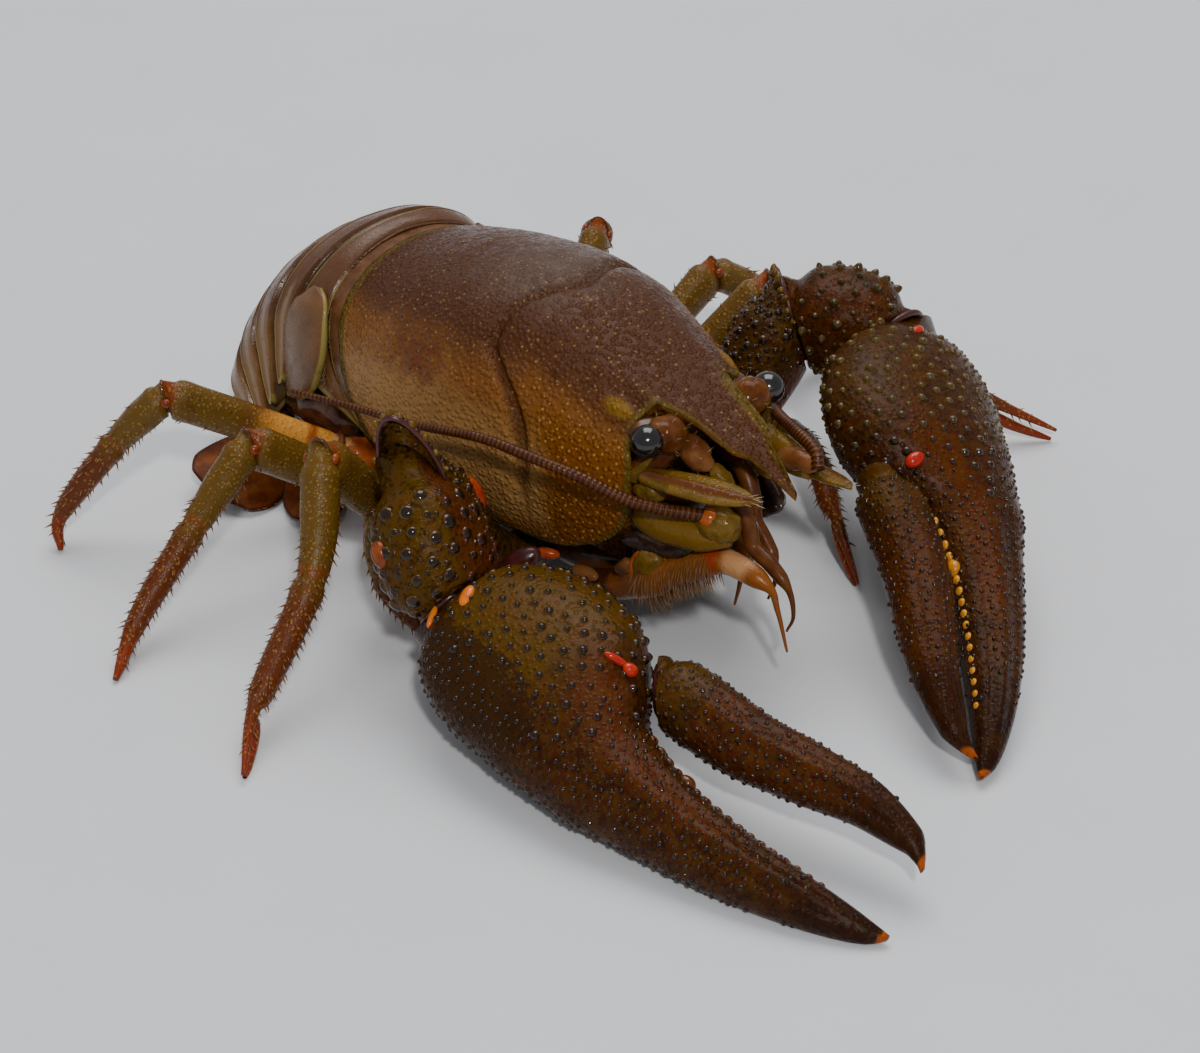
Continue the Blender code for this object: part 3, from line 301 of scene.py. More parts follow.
# ---- Pieces
def make_piece(name, points, faces, mat, nodes=(), marks=None):
    """Make a piece from points in millimetres; marks are named values at its points."""
    mesh = bpy.data.meshes.new(name)
    points = (np.array(points, float).reshape(-1, 3) + BODY_AT) * MM
    points = np.clip(points, cad_box[0], cad_box[1])
    mesh.from_pydata(points.tolist(), [], [tuple(f) for f in faces])
    for mark, values in (marks or {}).items():
        layer = mesh.attributes.new(mark, "FLOAT", "POINT")
        values = np.asarray(values, float).ravel()
        padded = np.zeros(len(points))
        padded[:len(values)] = values
        layer.data.foreach_set("value", padded.astype(np.float32))
    bm = bmesh.new()
    bm.from_mesh(mesh)
    bmesh.ops.dissolve_degenerate(bm, edges=bm.edges, dist=1e-7)
    bmesh.ops.recalc_face_normals(bm, faces=bm.faces)
    bm.to_mesh(mesh)
    bm.free()
    mesh.shade_smooth()
    mesh.materials.append(mat)
    obj = bpy.data.objects.new(name, mesh)
    bpy.context.scene.collection.objects.link(obj)
    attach(obj, "root")
    if nodes:
        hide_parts(*nodes)
    return obj


def grid_faces(rows, columns, wrap, start=0):
    r, c = np.meshgrid(np.arange(rows - 1), np.arange(columns if wrap else columns - 1), indexing="ij")
    n = (c + 1) % columns
    a = start + r * columns
    return np.stack([a + c, a + n, a + columns + n, a + columns + c], axis=-1).reshape(-1, 4).tolist()


def rim_loop(rows, count):
    """Give the numbers of a grid's border points in order round it."""
    loop = list(range(count)) + [r * count + count - 1 for r in range(1, rows)]
    loop += [(rows - 1) * count + i for i in range(count - 2, -1, -1)]
    return loop + [r * count for r in range(rows - 2, 0, -1)]


def oval(sides, squareness):
    """Give the unit places round an oval, as two rows of numbers."""
    a = 2 * pi * np.arange(sides) / sides
    c = np.sign(np.cos(a)) * abs(np.cos(a)) ** (2 / squareness)
    s = np.sign(np.sin(a)) * abs(np.sin(a)) ** (2 / squareness)
    return c, s


def limb_grid(path, wide, high, up, sides, squareness=2.0, axes=None, cuts=(None, None)):
    """Give the ring points of a limb, each ring held behind the planes that cut its ends."""
    path = np.array(path, float)
    t = unit(np.gradient(path, axis=0))
    if axes is None:
        across = unit(np.cross(t, np.array(up, float)))
        out = np.cross(across, t)
    else:
        t, across, out = [np.tile(a, (len(path), 1)) for a in axes]
    c, s = oval(sides, squareness)
    offset = across[:, None] * (c * np.asarray(wide)[:, None])[..., None]
    offset = offset + out[:, None] * (s * np.asarray(high)[:, None])[..., None]
    for cut in cuts:
        if cut is None:
            continue
        place, normal = np.array(cut[0]), unit(cut[1])
        near = abs(np.dot(path - place, normal))
        round_off = 1 - 0.24 * np.exp(-(near / (0.16 * np.asarray(wide) + 0.2)) ** 2)
        offset = offset * round_off[:, None, None]
    ring = path[:, None] + offset
    for end, cut in enumerate(cuts):
        if cut is None:
            continue
        place, normal = np.array(cut[0]), unit(cut[1])
        beyond = (ring - place) @ normal
        slope = (t @ normal)[:, None]
        last = 0 if end == 0 else len(path) - 1
        slide = np.where(beyond > 0, beyond, 0.0)
        slide[last] = beyond[last]
        ring = ring - t[:, None] * (slide / slope)[..., None]
    return ring


def closed_tube(grid):
    """Give the points and faces of a ring grid with both ends closed."""
    rows, sides = grid.shape[:2]
    points = grid.reshape(-1, 3)
    faces = grid_faces(rows, sides, True)
    ends = np.stack([grid[0].mean(0), grid[-1].mean(0)])
    head = rows * sides
    for i in range(sides):
        j = (i + 1) % sides
        faces.append([head, j, i])
        faces.append([head + 1, head - sides + i, head - sides + j])
    return np.vstack([points, ends]), faces


# ---- Shader groups and materials
def new_group(name, inputs, outputs):
    """Start a shader group; inputs and outputs are (name, kind, value) rows."""
    tree = bpy.data.node_groups.new(name, "ShaderNodeTree")
    for label, kind, value in inputs:
        socket = tree.interface.new_socket(name=label, in_out="INPUT", socket_type="NodeSocket" + kind)
        if value is not None:
            socket.default_value = value
    for label, kind in outputs:
        tree.interface.new_socket(name=label, in_out="OUTPUT", socket_type="NodeSocket" + kind)
    return tree, tree.nodes.new("NodeGroupInput"), tree.nodes.new("NodeGroupOutput")


def feed(tree, socket, value):
    """Give a socket a number, or link another socket to it."""
    if isinstance(value, bpy.types.NodeSocket):
        tree.links.new(value, socket)
    else:
        socket.default_value = value


def add_node(tree, kind, settings=None, **values):
    """Add a node; values are its sockets by name, with _ for a space, or i and a number."""
    node = tree.nodes.new(kind)
    for key, value in (settings or {}).items():
        setattr(node, key, value)
    for key, value in values.items():
        numbered = key[0] == "i" and key[1:].isdigit()
        feed(tree, node.inputs[int(key[1:]) if numbered else key.replace("_", " ")], value)
    return node


def maths(tree, operation, a, b=0.0, clamp=False):
    node = add_node(tree, "ShaderNodeMath", dict(operation=operation, use_clamp=clamp), i0=a, i1=b)
    return node.outputs[0]


def spread(tree, value, low, high, to_low=0.0, to_high=1.0):
    """Map a value from low..high to to_low..to_high with soft ends."""
    node = add_node(tree, "ShaderNodeMapRange", dict(interpolation_type="SMOOTHSTEP"), Value=value,
                    From_Min=low, From_Max=high, To_Min=to_low, To_Max=to_high)
    return node.outputs[0]


def noise(tree, vector, scale, detail=3.0, roughness=0.55):
    return add_node(tree, "ShaderNodeTexNoise", None, Vector=vector, Scale=scale, Detail=detail,
                    Roughness=roughness).outputs[0]


def make_blotch_group():
    """Break a smooth mask into an uneven edge with noise."""
    tree, inside, outside = new_group("blotch", [("Vector", "Vector", None), ("Mask", "Float", 0.5),
                                                 ("Scale", "Float", 0.3), ("Break", "Float", 0.6),
                                                 ("Soft", "Float", 0.25)], [("Mask", "Float")])
    grain = noise(tree, inside.outputs["Vector"], inside.outputs["Scale"], 4.0, 0.6)
    shifted = maths(tree, "MULTIPLY", maths(tree, "SUBTRACT", grain, 0.5), inside.outputs["Break"])
    total = maths(tree, "ADD", inside.outputs["Mask"], shifted)
    low = maths(tree, "SUBTRACT", 0.5, inside.outputs["Soft"])
    high = maths(tree, "ADD", 0.5, inside.outputs["Soft"])
    tree.links.new(spread(tree, total, low, high), outside.inputs["Mask"])
    return tree


def make_grain_group():
    """Make rounded grains over a surface: their height, and a spot in the middle of some of them."""
    tree, inside, outside = new_group("grains", [("Vector", "Vector", None), ("Scale", "Float", 1.0),
                                                 ("Size", "Float", 0.45), ("Some", "Float", 0.5)],
                                      [("Height", "Float"), ("Spot", "Float")])
    cells = add_node(tree, "ShaderNodeTexVoronoi", dict(feature="F1"), Vector=inside.outputs["Vector"],
                     Scale=inside.outputs["Scale"], Randomness=0.85)
    away = maths(tree, "DIVIDE", cells.outputs["Distance"], inside.outputs["Size"])
    dome = maths(tree, "SUBTRACT", 1.0, maths(tree, "MULTIPLY", away, away), True)
    tree.links.new(dome, outside.inputs["Height"])
    split = add_node(tree, "ShaderNodeSeparateColor", None, Color=cells.outputs["Color"])
    chosen = maths(tree, "LESS_THAN", split.outputs[0], inside.outputs["Some"])
    core = spread(tree, away, 0.75, 0.35)
    tree.links.new(maths(tree, "MULTIPLY", chosen, core), outside.inputs["Spot"])
    return tree


BLOTCH = make_blotch_group()
GRAINS = make_grain_group()


def use_group(tree, group, **values):
    return add_node(tree, "ShaderNodeGroup", dict(node_tree=group), **values)


def srgb(r, g, b):
    """Give the shader colour for a colour written as 0 to 255 screen values."""
    return (*[v / 255 / 12.92 if v <= 10 else ((v / 255 + 0.055) / 1.055) ** 2.4 for v in (r, g, b)], 1.0)


def mix(tree, factor, a, b):
    return add_node(tree, "ShaderNodeMix", dict(data_type="RGBA"), i0=factor, i6=a, i7=b).outputs[2]


ALMOST_BLACK = (0.006, 0.003, 0.001, 1.0)


def wet_material(name, base, layers=(), speck=None, shade=None, grain=None, roughness=0.3, rough_range=0.12,
                 bump=0.12, fine=6.0, shine=0.2):
    """Make a wet shell material.

    Colours are given as 0 to 255 screen values.
    layers: (mark, colour, noise scale, break, soft, strength) rows laid one over the other.
    speck: (scale, size, share, colour, strength) pale or dark grains that show in the colour.
    grain: (scale, size, height) grains that show as relief.
    """
    mat = bpy.data.materials.new(name)
    mat.use_nodes = True
    tree = mat.node_tree
    shader = tree.nodes["Principled BSDF"]
    where = add_node(tree, "ShaderNodeTexCoord").outputs["Object"]
    mapped = add_node(tree, "ShaderNodeMapping", None, Vector=where,
                      Scale=(1000.0, 1000.0, 1000.0)).outputs[0]
    colour = srgb(*base)
    for mark, over, scale, broken, soft, strength in layers:
        mask = 0.5
        if mark is not None:
            mask = add_node(tree, "ShaderNodeAttribute", dict(attribute_name=mark)).outputs["Fac"]
        edge = use_group(tree, BLOTCH, Vector=mapped, Mask=mask, Scale=scale, Break=broken,
                         Soft=soft).outputs[0]
        colour = mix(tree, maths(tree, "MULTIPLY", edge, strength), colour, srgb(*over))
    if speck is not None:
        scale, size, share, over, strength = speck
        spots = use_group(tree, GRAINS, Vector=mapped, Scale=scale, Size=size, Some=share).outputs["Spot"]
        colour = mix(tree, maths(tree, "MULTIPLY", spots, strength), colour, srgb(*over))
    # Small changes of tone over the whole surface
    tone = noise(tree, mapped, 0.5, 5.0, 0.65)
    dark = srgb(*shade) if shade else ALMOST_BLACK
    colour = mix(tree, spread(tree, tone, 0.42, 0.2, 0.0, 0.55), colour, dark)
    tree.links.new(colour, shader.inputs["Base Color"])
    wet = noise(tree, mapped, 0.9, 3.0)
    tree.links.new(spread(tree, wet, 0.3, 0.7, max(roughness - rough_range, 0.05), roughness + rough_range),
                   shader.inputs["Roughness"])
    height = maths(tree, "MULTIPLY", noise(tree, mapped, fine, 3.0, 0.6), 0.35)
    if grain is not None:
        scale, size, tall = grain
        domes = use_group(tree, GRAINS, Vector=mapped, Scale=scale, Size=size, Some=0.5).outputs["Height"]
        height = maths(tree, "ADD", height, maths(tree, "MULTIPLY", domes, tall))
    dent = add_node(tree, "ShaderNodeBump", None, Height=height, Strength=1.0, Distance=bump * MM)
    tree.links.new(dent.outputs[0], shader.inputs["Normal"])
    shader.inputs["Specular IOR Level"].default_value = shine
    return mat


def two_tone(name, base, patch, patches, roughness, shine, bump, **more):
    """Make a wet material with patches of a second colour; patches are (scale, break, soft, strength)."""
    return wet_material(name, base, [(None, patch, *patches)], roughness=roughness, shine=shine, bump=bump,
                        **more)


# The sheen layer is a painted reflection: a pale grey patch along the top of the shield, standing in for the
# glossy highlight of the overhead light
SHELL_LAYERS = [("flank", (158, 118, 68), 0.2, 0.9, 0.6, 0.85), ("cheek", (112, 62, 6), 0.25, 0.5, 0.3, 0.95),
                ("maroon", (86, 36, 14), 0.5, 0.9, 0.2, 0.7), ("top", (67, 34, 14), 0.22, 0.6, 0.4, 0.95),
                ("sheen", (104, 92, 84), 0.3, 0.7, 0.5, 0.7), ("groove", (70, 36, 12), 0.6, 0.3, 0.3, 0.75),
                ("rim", (84, 68, 20), 0.8, 0.4, 0.3, 0.85), ("ochre", (116, 84, 16), 0.8, 0.3, 0.3, 0.9)]
# The groove layer is painted shade: darker brown in the cervical groove, the more so where it is deeper
SHELL = wet_material("shell_brown", (114, 68, 22), layers=SHELL_LAYERS,
                     speck=(1.3, 0.36, 0.6, (166, 130, 66), 0.45), grain=(1.5, 0.55, 0.9), bump=0.2,
                     roughness=0.25, shine=0.12)
SHELL_GRAIN = wet_material("shell_grain", (114, 68, 22),
                           layers=SHELL_LAYERS + [("tall", (158, 116, 44), 0.6, 0.2, 0.35, 0.7)], bump=0.02,
                           roughness=0.2, shine=0.25)
TAIL = wet_material(
    "tail_brown", (84, 52, 32),
    layers=[(None, (92, 68, 50), 0.14, 2.2, 0.3, 0.5), ("side", (124, 88, 52), 0.3, 0.7, 0.35, 0.85),
            # painted highlight: a pale grey band on each tile and down each side lobe, where the light shines on
            # them
            ("streak", (140, 120, 96), 0.4, 0.5, 0.35, 0.7), ("edge", (140, 128, 62), 0.7, 0.3, 0.25, 0.75),
            # painted shade: the front of each tile, tucked under the tile before it, is darker
            ("hidden", (56, 32, 14), 0.5, 0.4, 0.3, 0.9)],
    speck=(1.1, 0.4, 0.3, (84, 54, 30), 0.3), grain=(2.2, 0.35, 0.3), bump=0.06, roughness=0.26, shine=0.24)
FAN = wet_material(
    "fan_brown", (80, 34, 8),
    layers=[(None, (124, 66, 14), 0.3, 2.0, 0.3, 0.6), ("edge", (52, 22, 8), 0.7, 0.5, 0.3, 0.8)],
    grain=(2.2, 0.35, 0.3), bump=0.07, roughness=0.3, shine=0.06)
CLAW_LAYERS = [("olive", (76, 52, 3), 0.3, 1.0, 0.35, 0.95), ("red", (76, 30, 5), 0.3, 1.0, 0.3, 0.8),
               (None, (86, 42, 6), 0.4, 2.0, 0.25, 0.36), (None, (76, 54, 8), 1.3, 2.2, 0.12, 0.3),
               ("dark", (30, 13, 6), 0.3, 0.5, 0.3, 0.85), ("freckle", (44, 24, 6), 1.1, 1.7, 0.12, 0.8),
               ("tip", (150, 70, 14), 0.8, 0.2, 0.3, 0.95)]
CLAW = wet_material("claw_dark", (44, 18, 7), layers=CLAW_LAYERS, speck=(1.5, 0.42, 0.5, (24, 11, 5), 0.75),
                    grain=(1.5, 0.5, 0.6), bump=0.12, roughness=0.17, rough_range=0.06, shine=0.08)
CLAW_KNOB = wet_material("claw_knob", (36, 14, 6),
                         layers=CLAW_LAYERS + [("tall", (18, 9, 6), 0.6, 0.2, 0.28, 0.85),
                                               ("pale", (96, 76, 18), 0.6, 0.5, 0.3, 0.5)],
                         bump=0.02, roughness=0.1, rough_range=0.03, shine=0.38)
SKIN = two_tone("joint_skin", (74, 34, 34), (52, 20, 12), (0.5, 1.8, 0.25, 0.8), 0.2, 0.4, 0.05)
BEAD_RED = two_tone("bead_red", (160, 16, 2), (196, 52, 6), (0.5, 1.6, 0.25, 0.7), 0.14, 0.4, 0.02)
BEAD_ORANGE = two_tone("bead_orange", (210, 98, 8), (230, 138, 22), (0.5, 1.6, 0.25, 0.6), 0.16, 0.4, 0.02)
BEAD_DULL = two_tone("bead_dull_red", (140, 36, 8), (172, 74, 22), (0.5, 1.8, 0.25, 0.7), 0.16, 0.3, 0.05,
                     shade=(70, 14, 4))
TOOTH = two_tone("tooth_yellow", (208, 140, 14), (160, 92, 10), (0.8, 1.6, 0.25, 0.7), 0.2, 0.4, 0.04)
TOOTH_DARK = two_tone("tooth_brown", (96, 52, 12), (64, 30, 8), (0.8, 1.6, 0.25, 0.7), 0.2, 0.4, 0.04)
LEG_LAYERS = [("olive", (92, 68, 20), 0.3, 0.8, 0.35, 0.85), ("amber", (196, 134, 56), 0.3, 0.6, 0.35, 0.92),
              ("cream", (190, 138, 88), 0.8, 0.9, 0.3, 0.8),
              ("dark", (88, 40, 16), 0.4, 0.7, 0.35, 0.9), ("red", (124, 42, 14), 0.6, 0.4, 0.35, 0.85)]
LEG = wet_material("leg_amber", (92, 52, 14), layers=LEG_LAYERS, speck=(1.9, 0.5, 0.75, (150, 112, 40), 0.6),
                   shade=(46, 20, 6), grain=(1.9, 0.5, 0.6), bump=0.1, roughness=0.25, shine=0.18)
JOINT = two_tone("joint_amber", (132, 62, 18), (100, 36, 12), (0.7, 1.8, 0.3, 0.8), 0.18, 0.3, 0.03)
MOUTH = wet_material(
    "mouth_amber", (128, 70, 18),
    layers=[("dark", (62, 28, 10), 0.5, 0.6, 0.3, 0.9), ("olive", (104, 78, 16), 0.4, 0.6, 0.3, 0.9),
            ("pale", (186, 136, 90), 0.4, 0.6, 0.3, 0.9), ("red", (140, 44, 10), 0.6, 0.4, 0.3, 0.85)],
    grain=(1.6, 0.45, 0.4), bump=0.08, roughness=0.18, shine=0.25)
TAN = two_tone("flesh_tan", (118, 76, 40), (88, 44, 18), (0.4, 1.8, 0.3, 0.8), 0.16, 0.12, 0.12, fine=2.0)
BACK_SKIN = two_tone("back_skin", (104, 70, 42), (70, 38, 18), (0.5, 1.8, 0.3, 0.7), 0.3, 0.25, 0.1, fine=2.0)
ORANGE = two_tone("flesh_orange", (172, 86, 30), (120, 50, 12), (0.5, 1.8, 0.3, 0.7), 0.18, 0.3, 0.05)
RED_BROWN = two_tone("flesh_red_brown", (72, 34, 10), (108, 66, 28), (0.3, 1.9, 0.3, 0.8), 0.1, 0.12, 0.1,
                     fine=2.0, shade=(50, 18, 8))
DEEP_BROWN = two_tone("flesh_deep_brown", (60, 30, 14), (92, 54, 24), (0.5, 1.8, 0.3, 0.7), 0.16, 0.35, 0.12,
                      fine=1.6)
BLACK = two_tone("wet_black", (38, 24, 18), (74, 52, 42), (0.7, 1.8, 0.3, 0.6), 0.14, 0.45, 0.14, fine=1.6)
PLATE_OLIVE = wet_material(
    "plate_olive", (88, 64, 14),
    layers=[(None, (116, 86, 24), 0.6, 1.8, 0.3, 0.7), ("keel", (88, 40, 12), 0.5, 0.4, 0.3, 0.9)],
    speck=(1.6, 0.4, 0.4, (136, 106, 44), 0.4), shade=(60, 40, 6), grain=(1.6, 0.4, 0.6), roughness=0.2,
    shine=0.25, bump=0.08)
FEELER = wet_material(
    "feeler_brown", (78, 38, 14),
    layers=[(None, (104, 62, 20), 0.5, 1.6, 0.25, 0.6), ("ring", (44, 16, 8), 0.8, 0.2, 0.3, 0.85)],
    roughness=0.3, bump=0.04, shine=0.2)
EYE = wet_material("eye_black", (16, 12, 14), roughness=0.12, rough_range=0.04, bump=0.02, shine=0.7)
BRISTLE = wet_material("bristle_brown", (104, 62, 30), layers=[("tall", (150, 116, 76), 0.5, 0.3, 0.3, 0.8)],
                       roughness=0.5, bump=0.01)
CREAM = wet_material("bristle_cream", (196, 178, 140), layers=[("tall", (214, 202, 176), 0.5, 0.3, 0.3, 0.8)],
                     roughness=0.5, bump=0.01)


# ---- Small shapes set over a surface
def make_scatter_tree():
    """Build the tree that sets copies of a shape over a surface, thickest where a mask is 1."""
    tree = bpy.data.node_groups.new("set_over_surface", "GeometryNodeTree")
    for label, kind, value in (("Surface", "Geometry", None), ("Shape", "Object", None),
                               ("Mask", "String", "knob"), ("Spacing", "Float", 0.001),
                               ("Density", "Float", 1e6), ("Smallest", "Float", 0.5),
                               ("Largest", "Float", 1.0), ("Seed", "Int", 1), ("Lean", "Vector", None),
                               ("Finish", "Material", None)):
        socket = tree.interface.new_socket(name=label, in_out="INPUT", socket_type="NodeSocket" + kind)
        if value is not None:
            socket.default_value = value
    tree.interface.new_socket(name="Copies", in_out="OUTPUT", socket_type="NodeSocketGeometry")
    inside = tree.nodes.new("NodeGroupInput").outputs
    outside = tree.nodes.new("NodeGroupOutput")
    mask = add_node(tree, "GeometryNodeInputNamedAttribute", dict(data_type="FLOAT"), Name=inside["Mask"])
    spread_points = add_node(tree, "GeometryNodeDistributePointsOnFaces", dict(distribute_method="POISSON"),
                             Mesh=inside["Surface"], Distance_Min=inside["Spacing"],
                             Density_Max=inside["Density"], Density_Factor=mask.outputs["Attribute"],
                             Seed=inside["Seed"])
    lean = add_node(tree, "ShaderNodeVectorMath", dict(operation="ADD"), i0=spread_points.outputs["Normal"],
                    i1=inside["Lean"])
    turned = add_node(tree, "FunctionNodeAlignRotationToVector", dict(axis="Z"), Vector=lean.outputs[0])
    size = add_node(tree, "FunctionNodeRandomValue", dict(data_type="FLOAT"), Seed=inside["Seed"])
    tree.links.new(inside["Smallest"], size.inputs[2])
    tree.links.new(inside["Largest"], size.inputs[3])
    shape = add_node(tree, "GeometryNodeObjectInfo", None, Object=inside["Shape"])
    copies = add_node(tree, "GeometryNodeInstanceOnPoints", None, Points=spread_points.outputs["Points"],
                      Instance=shape.outputs["Geometry"], Rotation=turned.outputs[0], Scale=size.outputs[1])
    real = add_node(tree, "GeometryNodeRealizeInstances", None, Geometry=copies.outputs[0])
    finish = add_node(tree, "GeometryNodeSetMaterial", None, Geometry=real.outputs[0],
                      Material=inside["Finish"])
    tree.links.new(finish.outputs[0], outside.inputs["Copies"])
    return tree


SCATTER = make_scatter_tree()


def round_shape(name, profile, sides, bend=0.0):
    """Make a small shape from (radius, height) rings round the Z axis, one millimetre across at size 1."""
    points = []
    for radius, height in profile[:-1]:
        for i in range(sides):
            a = 2 * pi * i / sides
            points.append((radius * cos(a) + bend * height * height, radius * sin(a), height))
    points.append((bend * profile[-1][1] ** 2, 0.0, profile[-1][1]))
    rings = len(profile) - 1
    faces = grid_faces(rings, sides, True)
    top = rings * sides
    faces += [(top - sides + i, top - sides + (i + 1) % sides, top) for i in range(sides)]
    faces.append(tuple(range(sides - 1, -1, -1)))
    mesh = bpy.data.meshes.new(name)
    mesh.from_pydata((np.array(points) * MM).tolist(), [], faces)
    mesh.shade_smooth()
    tall = mesh.attributes.new("tall", "FLOAT", "POINT")
    heights = np.array([p[2] for p in points])
    tall.data.foreach_set("value", np.clip(heights / heights.max(), 0, 1).astype(np.float32))
    obj = bpy.data.objects.new(name, mesh)
    bpy.context.scene.collection.objects.link(obj)
    return obj


def scatter(name, surface, shape, mat, mask, spacing, sizes, seed, lean=(0, 0, 0), density=4.0):
    """Set copies of a shape over a piece; spacing is in millimetres and density in copies per square one."""
    holder = bpy.data.objects.new(name, surface.data.copy())
    bpy.context.scene.collection.objects.link(holder)
    live = holder.modifiers.new("copies", "NODES")
    live.node_group = SCATTER
    ids = {item.name: item.identifier for item in SCATTER.interface.items_tree if item.in_out == "INPUT"}
    for label, value in (("Shape", shape), ("Mask", mask), ("Spacing", spacing * MM),
                         ("Density", density / MM ** 2), ("Smallest", sizes[0]), ("Largest", sizes[1]),
                         ("Seed", seed), ("Lean", lean), ("Finish", mat)):
        live[ids[label]] = value
    depsgraph = bpy.context.evaluated_depsgraph_get()
    mesh = bpy.data.meshes.new_from_object(holder.evaluated_get(depsgraph), preserve_all_data_layers=True,
                                           depsgraph=depsgraph)
    holder.modifiers.clear()
    # No copy may stand out of the solids' box or sink into the floor
    places = np.zeros(len(mesh.vertices) * 3, np.float32)
    mesh.vertices.foreach_get("co", places)
    places = np.clip(places.reshape(-1, 3), np.array(cad_box[0]) + [0, 0, FLOOR_CLEARANCE],
                     np.array(cad_box[1]))
    mesh.vertices.foreach_set("co", places.astype(np.float32).ravel())
    holder.data = mesh
    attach(holder, "root")
    return holder


KNOB = round_shape("knob_shape", [(0.62, -0.25), (0.55, 0.02), (0.4, 0.24), (0.18, 0.38), (0, 0.42)], 8)
SPIKE = round_shape("spike_shape", [(0.6, -0.25), (0.52, 0.1), (0.36, 0.42), (0.16, 0.62), (0, 0.68)], 8)
PAD = round_shape("pad_shape", [(0.8, -0.2), (0.74, 0.04), (0.5, 0.2), (0.22, 0.27), (0, 0.29)], 10)
GRAIN = round_shape("grain_shape", [(0.6, -0.2), (0.5, 0.06), (0.28, 0.26), (0, 0.32)], 6)
SPINE = round_shape("spine_shape", [(0.16, -0.15), (0.13, 0.3), (0.07, 0.8), (0, 1.2)], 5, 0.06)
HAIR = round_shape("hair_shape", [(0.05, -0.2), (0.045, 0.6), (0.03, 1.3), (0, 2.0)], 4, 0.12)


def hairs_all_over(name, piece, spacing, seed, lean, density=4.0):
    """Set short pale hairs all over a piece."""
    everywhere = piece.data.attributes.new("all_over", "FLOAT", "POINT")
    everywhere.data.foreach_set("value", np.ones(len(piece.data.vertices), np.float32))
    scatter(name, piece, HAIR, CREAM, "all_over", spacing, (0.3, 0.6), seed, lean, density)


# ---- The shield over head and chest
def shield_points(q, y):
    """Give the shield's surface at shares q (-1 to 1) round its section and places y along it."""
    u = abs(q)
    half = smooth(HALF_WIDTH, y)
    top = smooth(TOP, y)
    middle = smooth(WIDEST_HEIGHT, y)
    low = smooth(LOWER_MARGIN, y)
    angle = np.minimum(u / WIDE_SHARE, 1) * pi / 2
    s = np.maximum(u - WIDE_SHARE, 0) / (1 - WIDE_SHARE)
    upper = u <= WIDE_SHARE
    x = np.where(upper, half * np.sin(angle) ** SHIELD_ROUNDNESS, half * (1 - 0.14 * s * s))
    z = np.where(upper, middle + (top - middle) * np.maximum(np.cos(angle), 0) ** SHIELD_ROUNDNESS,
                 middle - (middle - low) * s)
    lift = -smooth(GROOVE_DEPTH, u) * bell(y, smooth(GROOVE_LINE, u), GROOVE_WIDTH)
    carina = ROSTRUM_RIM * (1 - ease(ORBIT_Y, -7.0, y))
    lift = lift + carina * bell(u, ROSTRUM_SHARE, 0.045)
    lift = lift + 0.8 * bell(u, 0.26, 0.05) * bell(y, -14.0, 2.6)
    out_x = np.where(upper, x / half ** 2, 1.0)
    out_z = np.where(upper, (z - middle) / (top - middle) ** 2, 0.0)
    size = np.hypot(out_x, out_z)
    x = x + out_x / size * lift
    z = z + out_z / size * lift
    return np.stack([np.where(q >= 0, x, -x), y + 0 * q, z], axis=-1)


def rostrum_points(q, y):
    """Give the rostrum's upper surface over the shield's middle columns."""
    e = abs(q) / ROSTRUM_SHARE
    half = smooth(ROSTRUM_HALF_WIDTH, y)
    root = 1 - ease(-22.0, ORBIT_Y, y)
    tip = ease(ROSTRUM_TIP_Y, -31.0, y)
    z = smooth(ROSTRUM_MIDDLE, y) - 0.85 * e * e * (1 - root)
    z = z + (ROSTRUM_RIM * e ** 4 - 0.25 * root * e * (1 - e)) * (0.25 + 0.75 * tip)
    return np.stack([np.sign(q) * e * half, y + 0 * q, z], axis=-1)


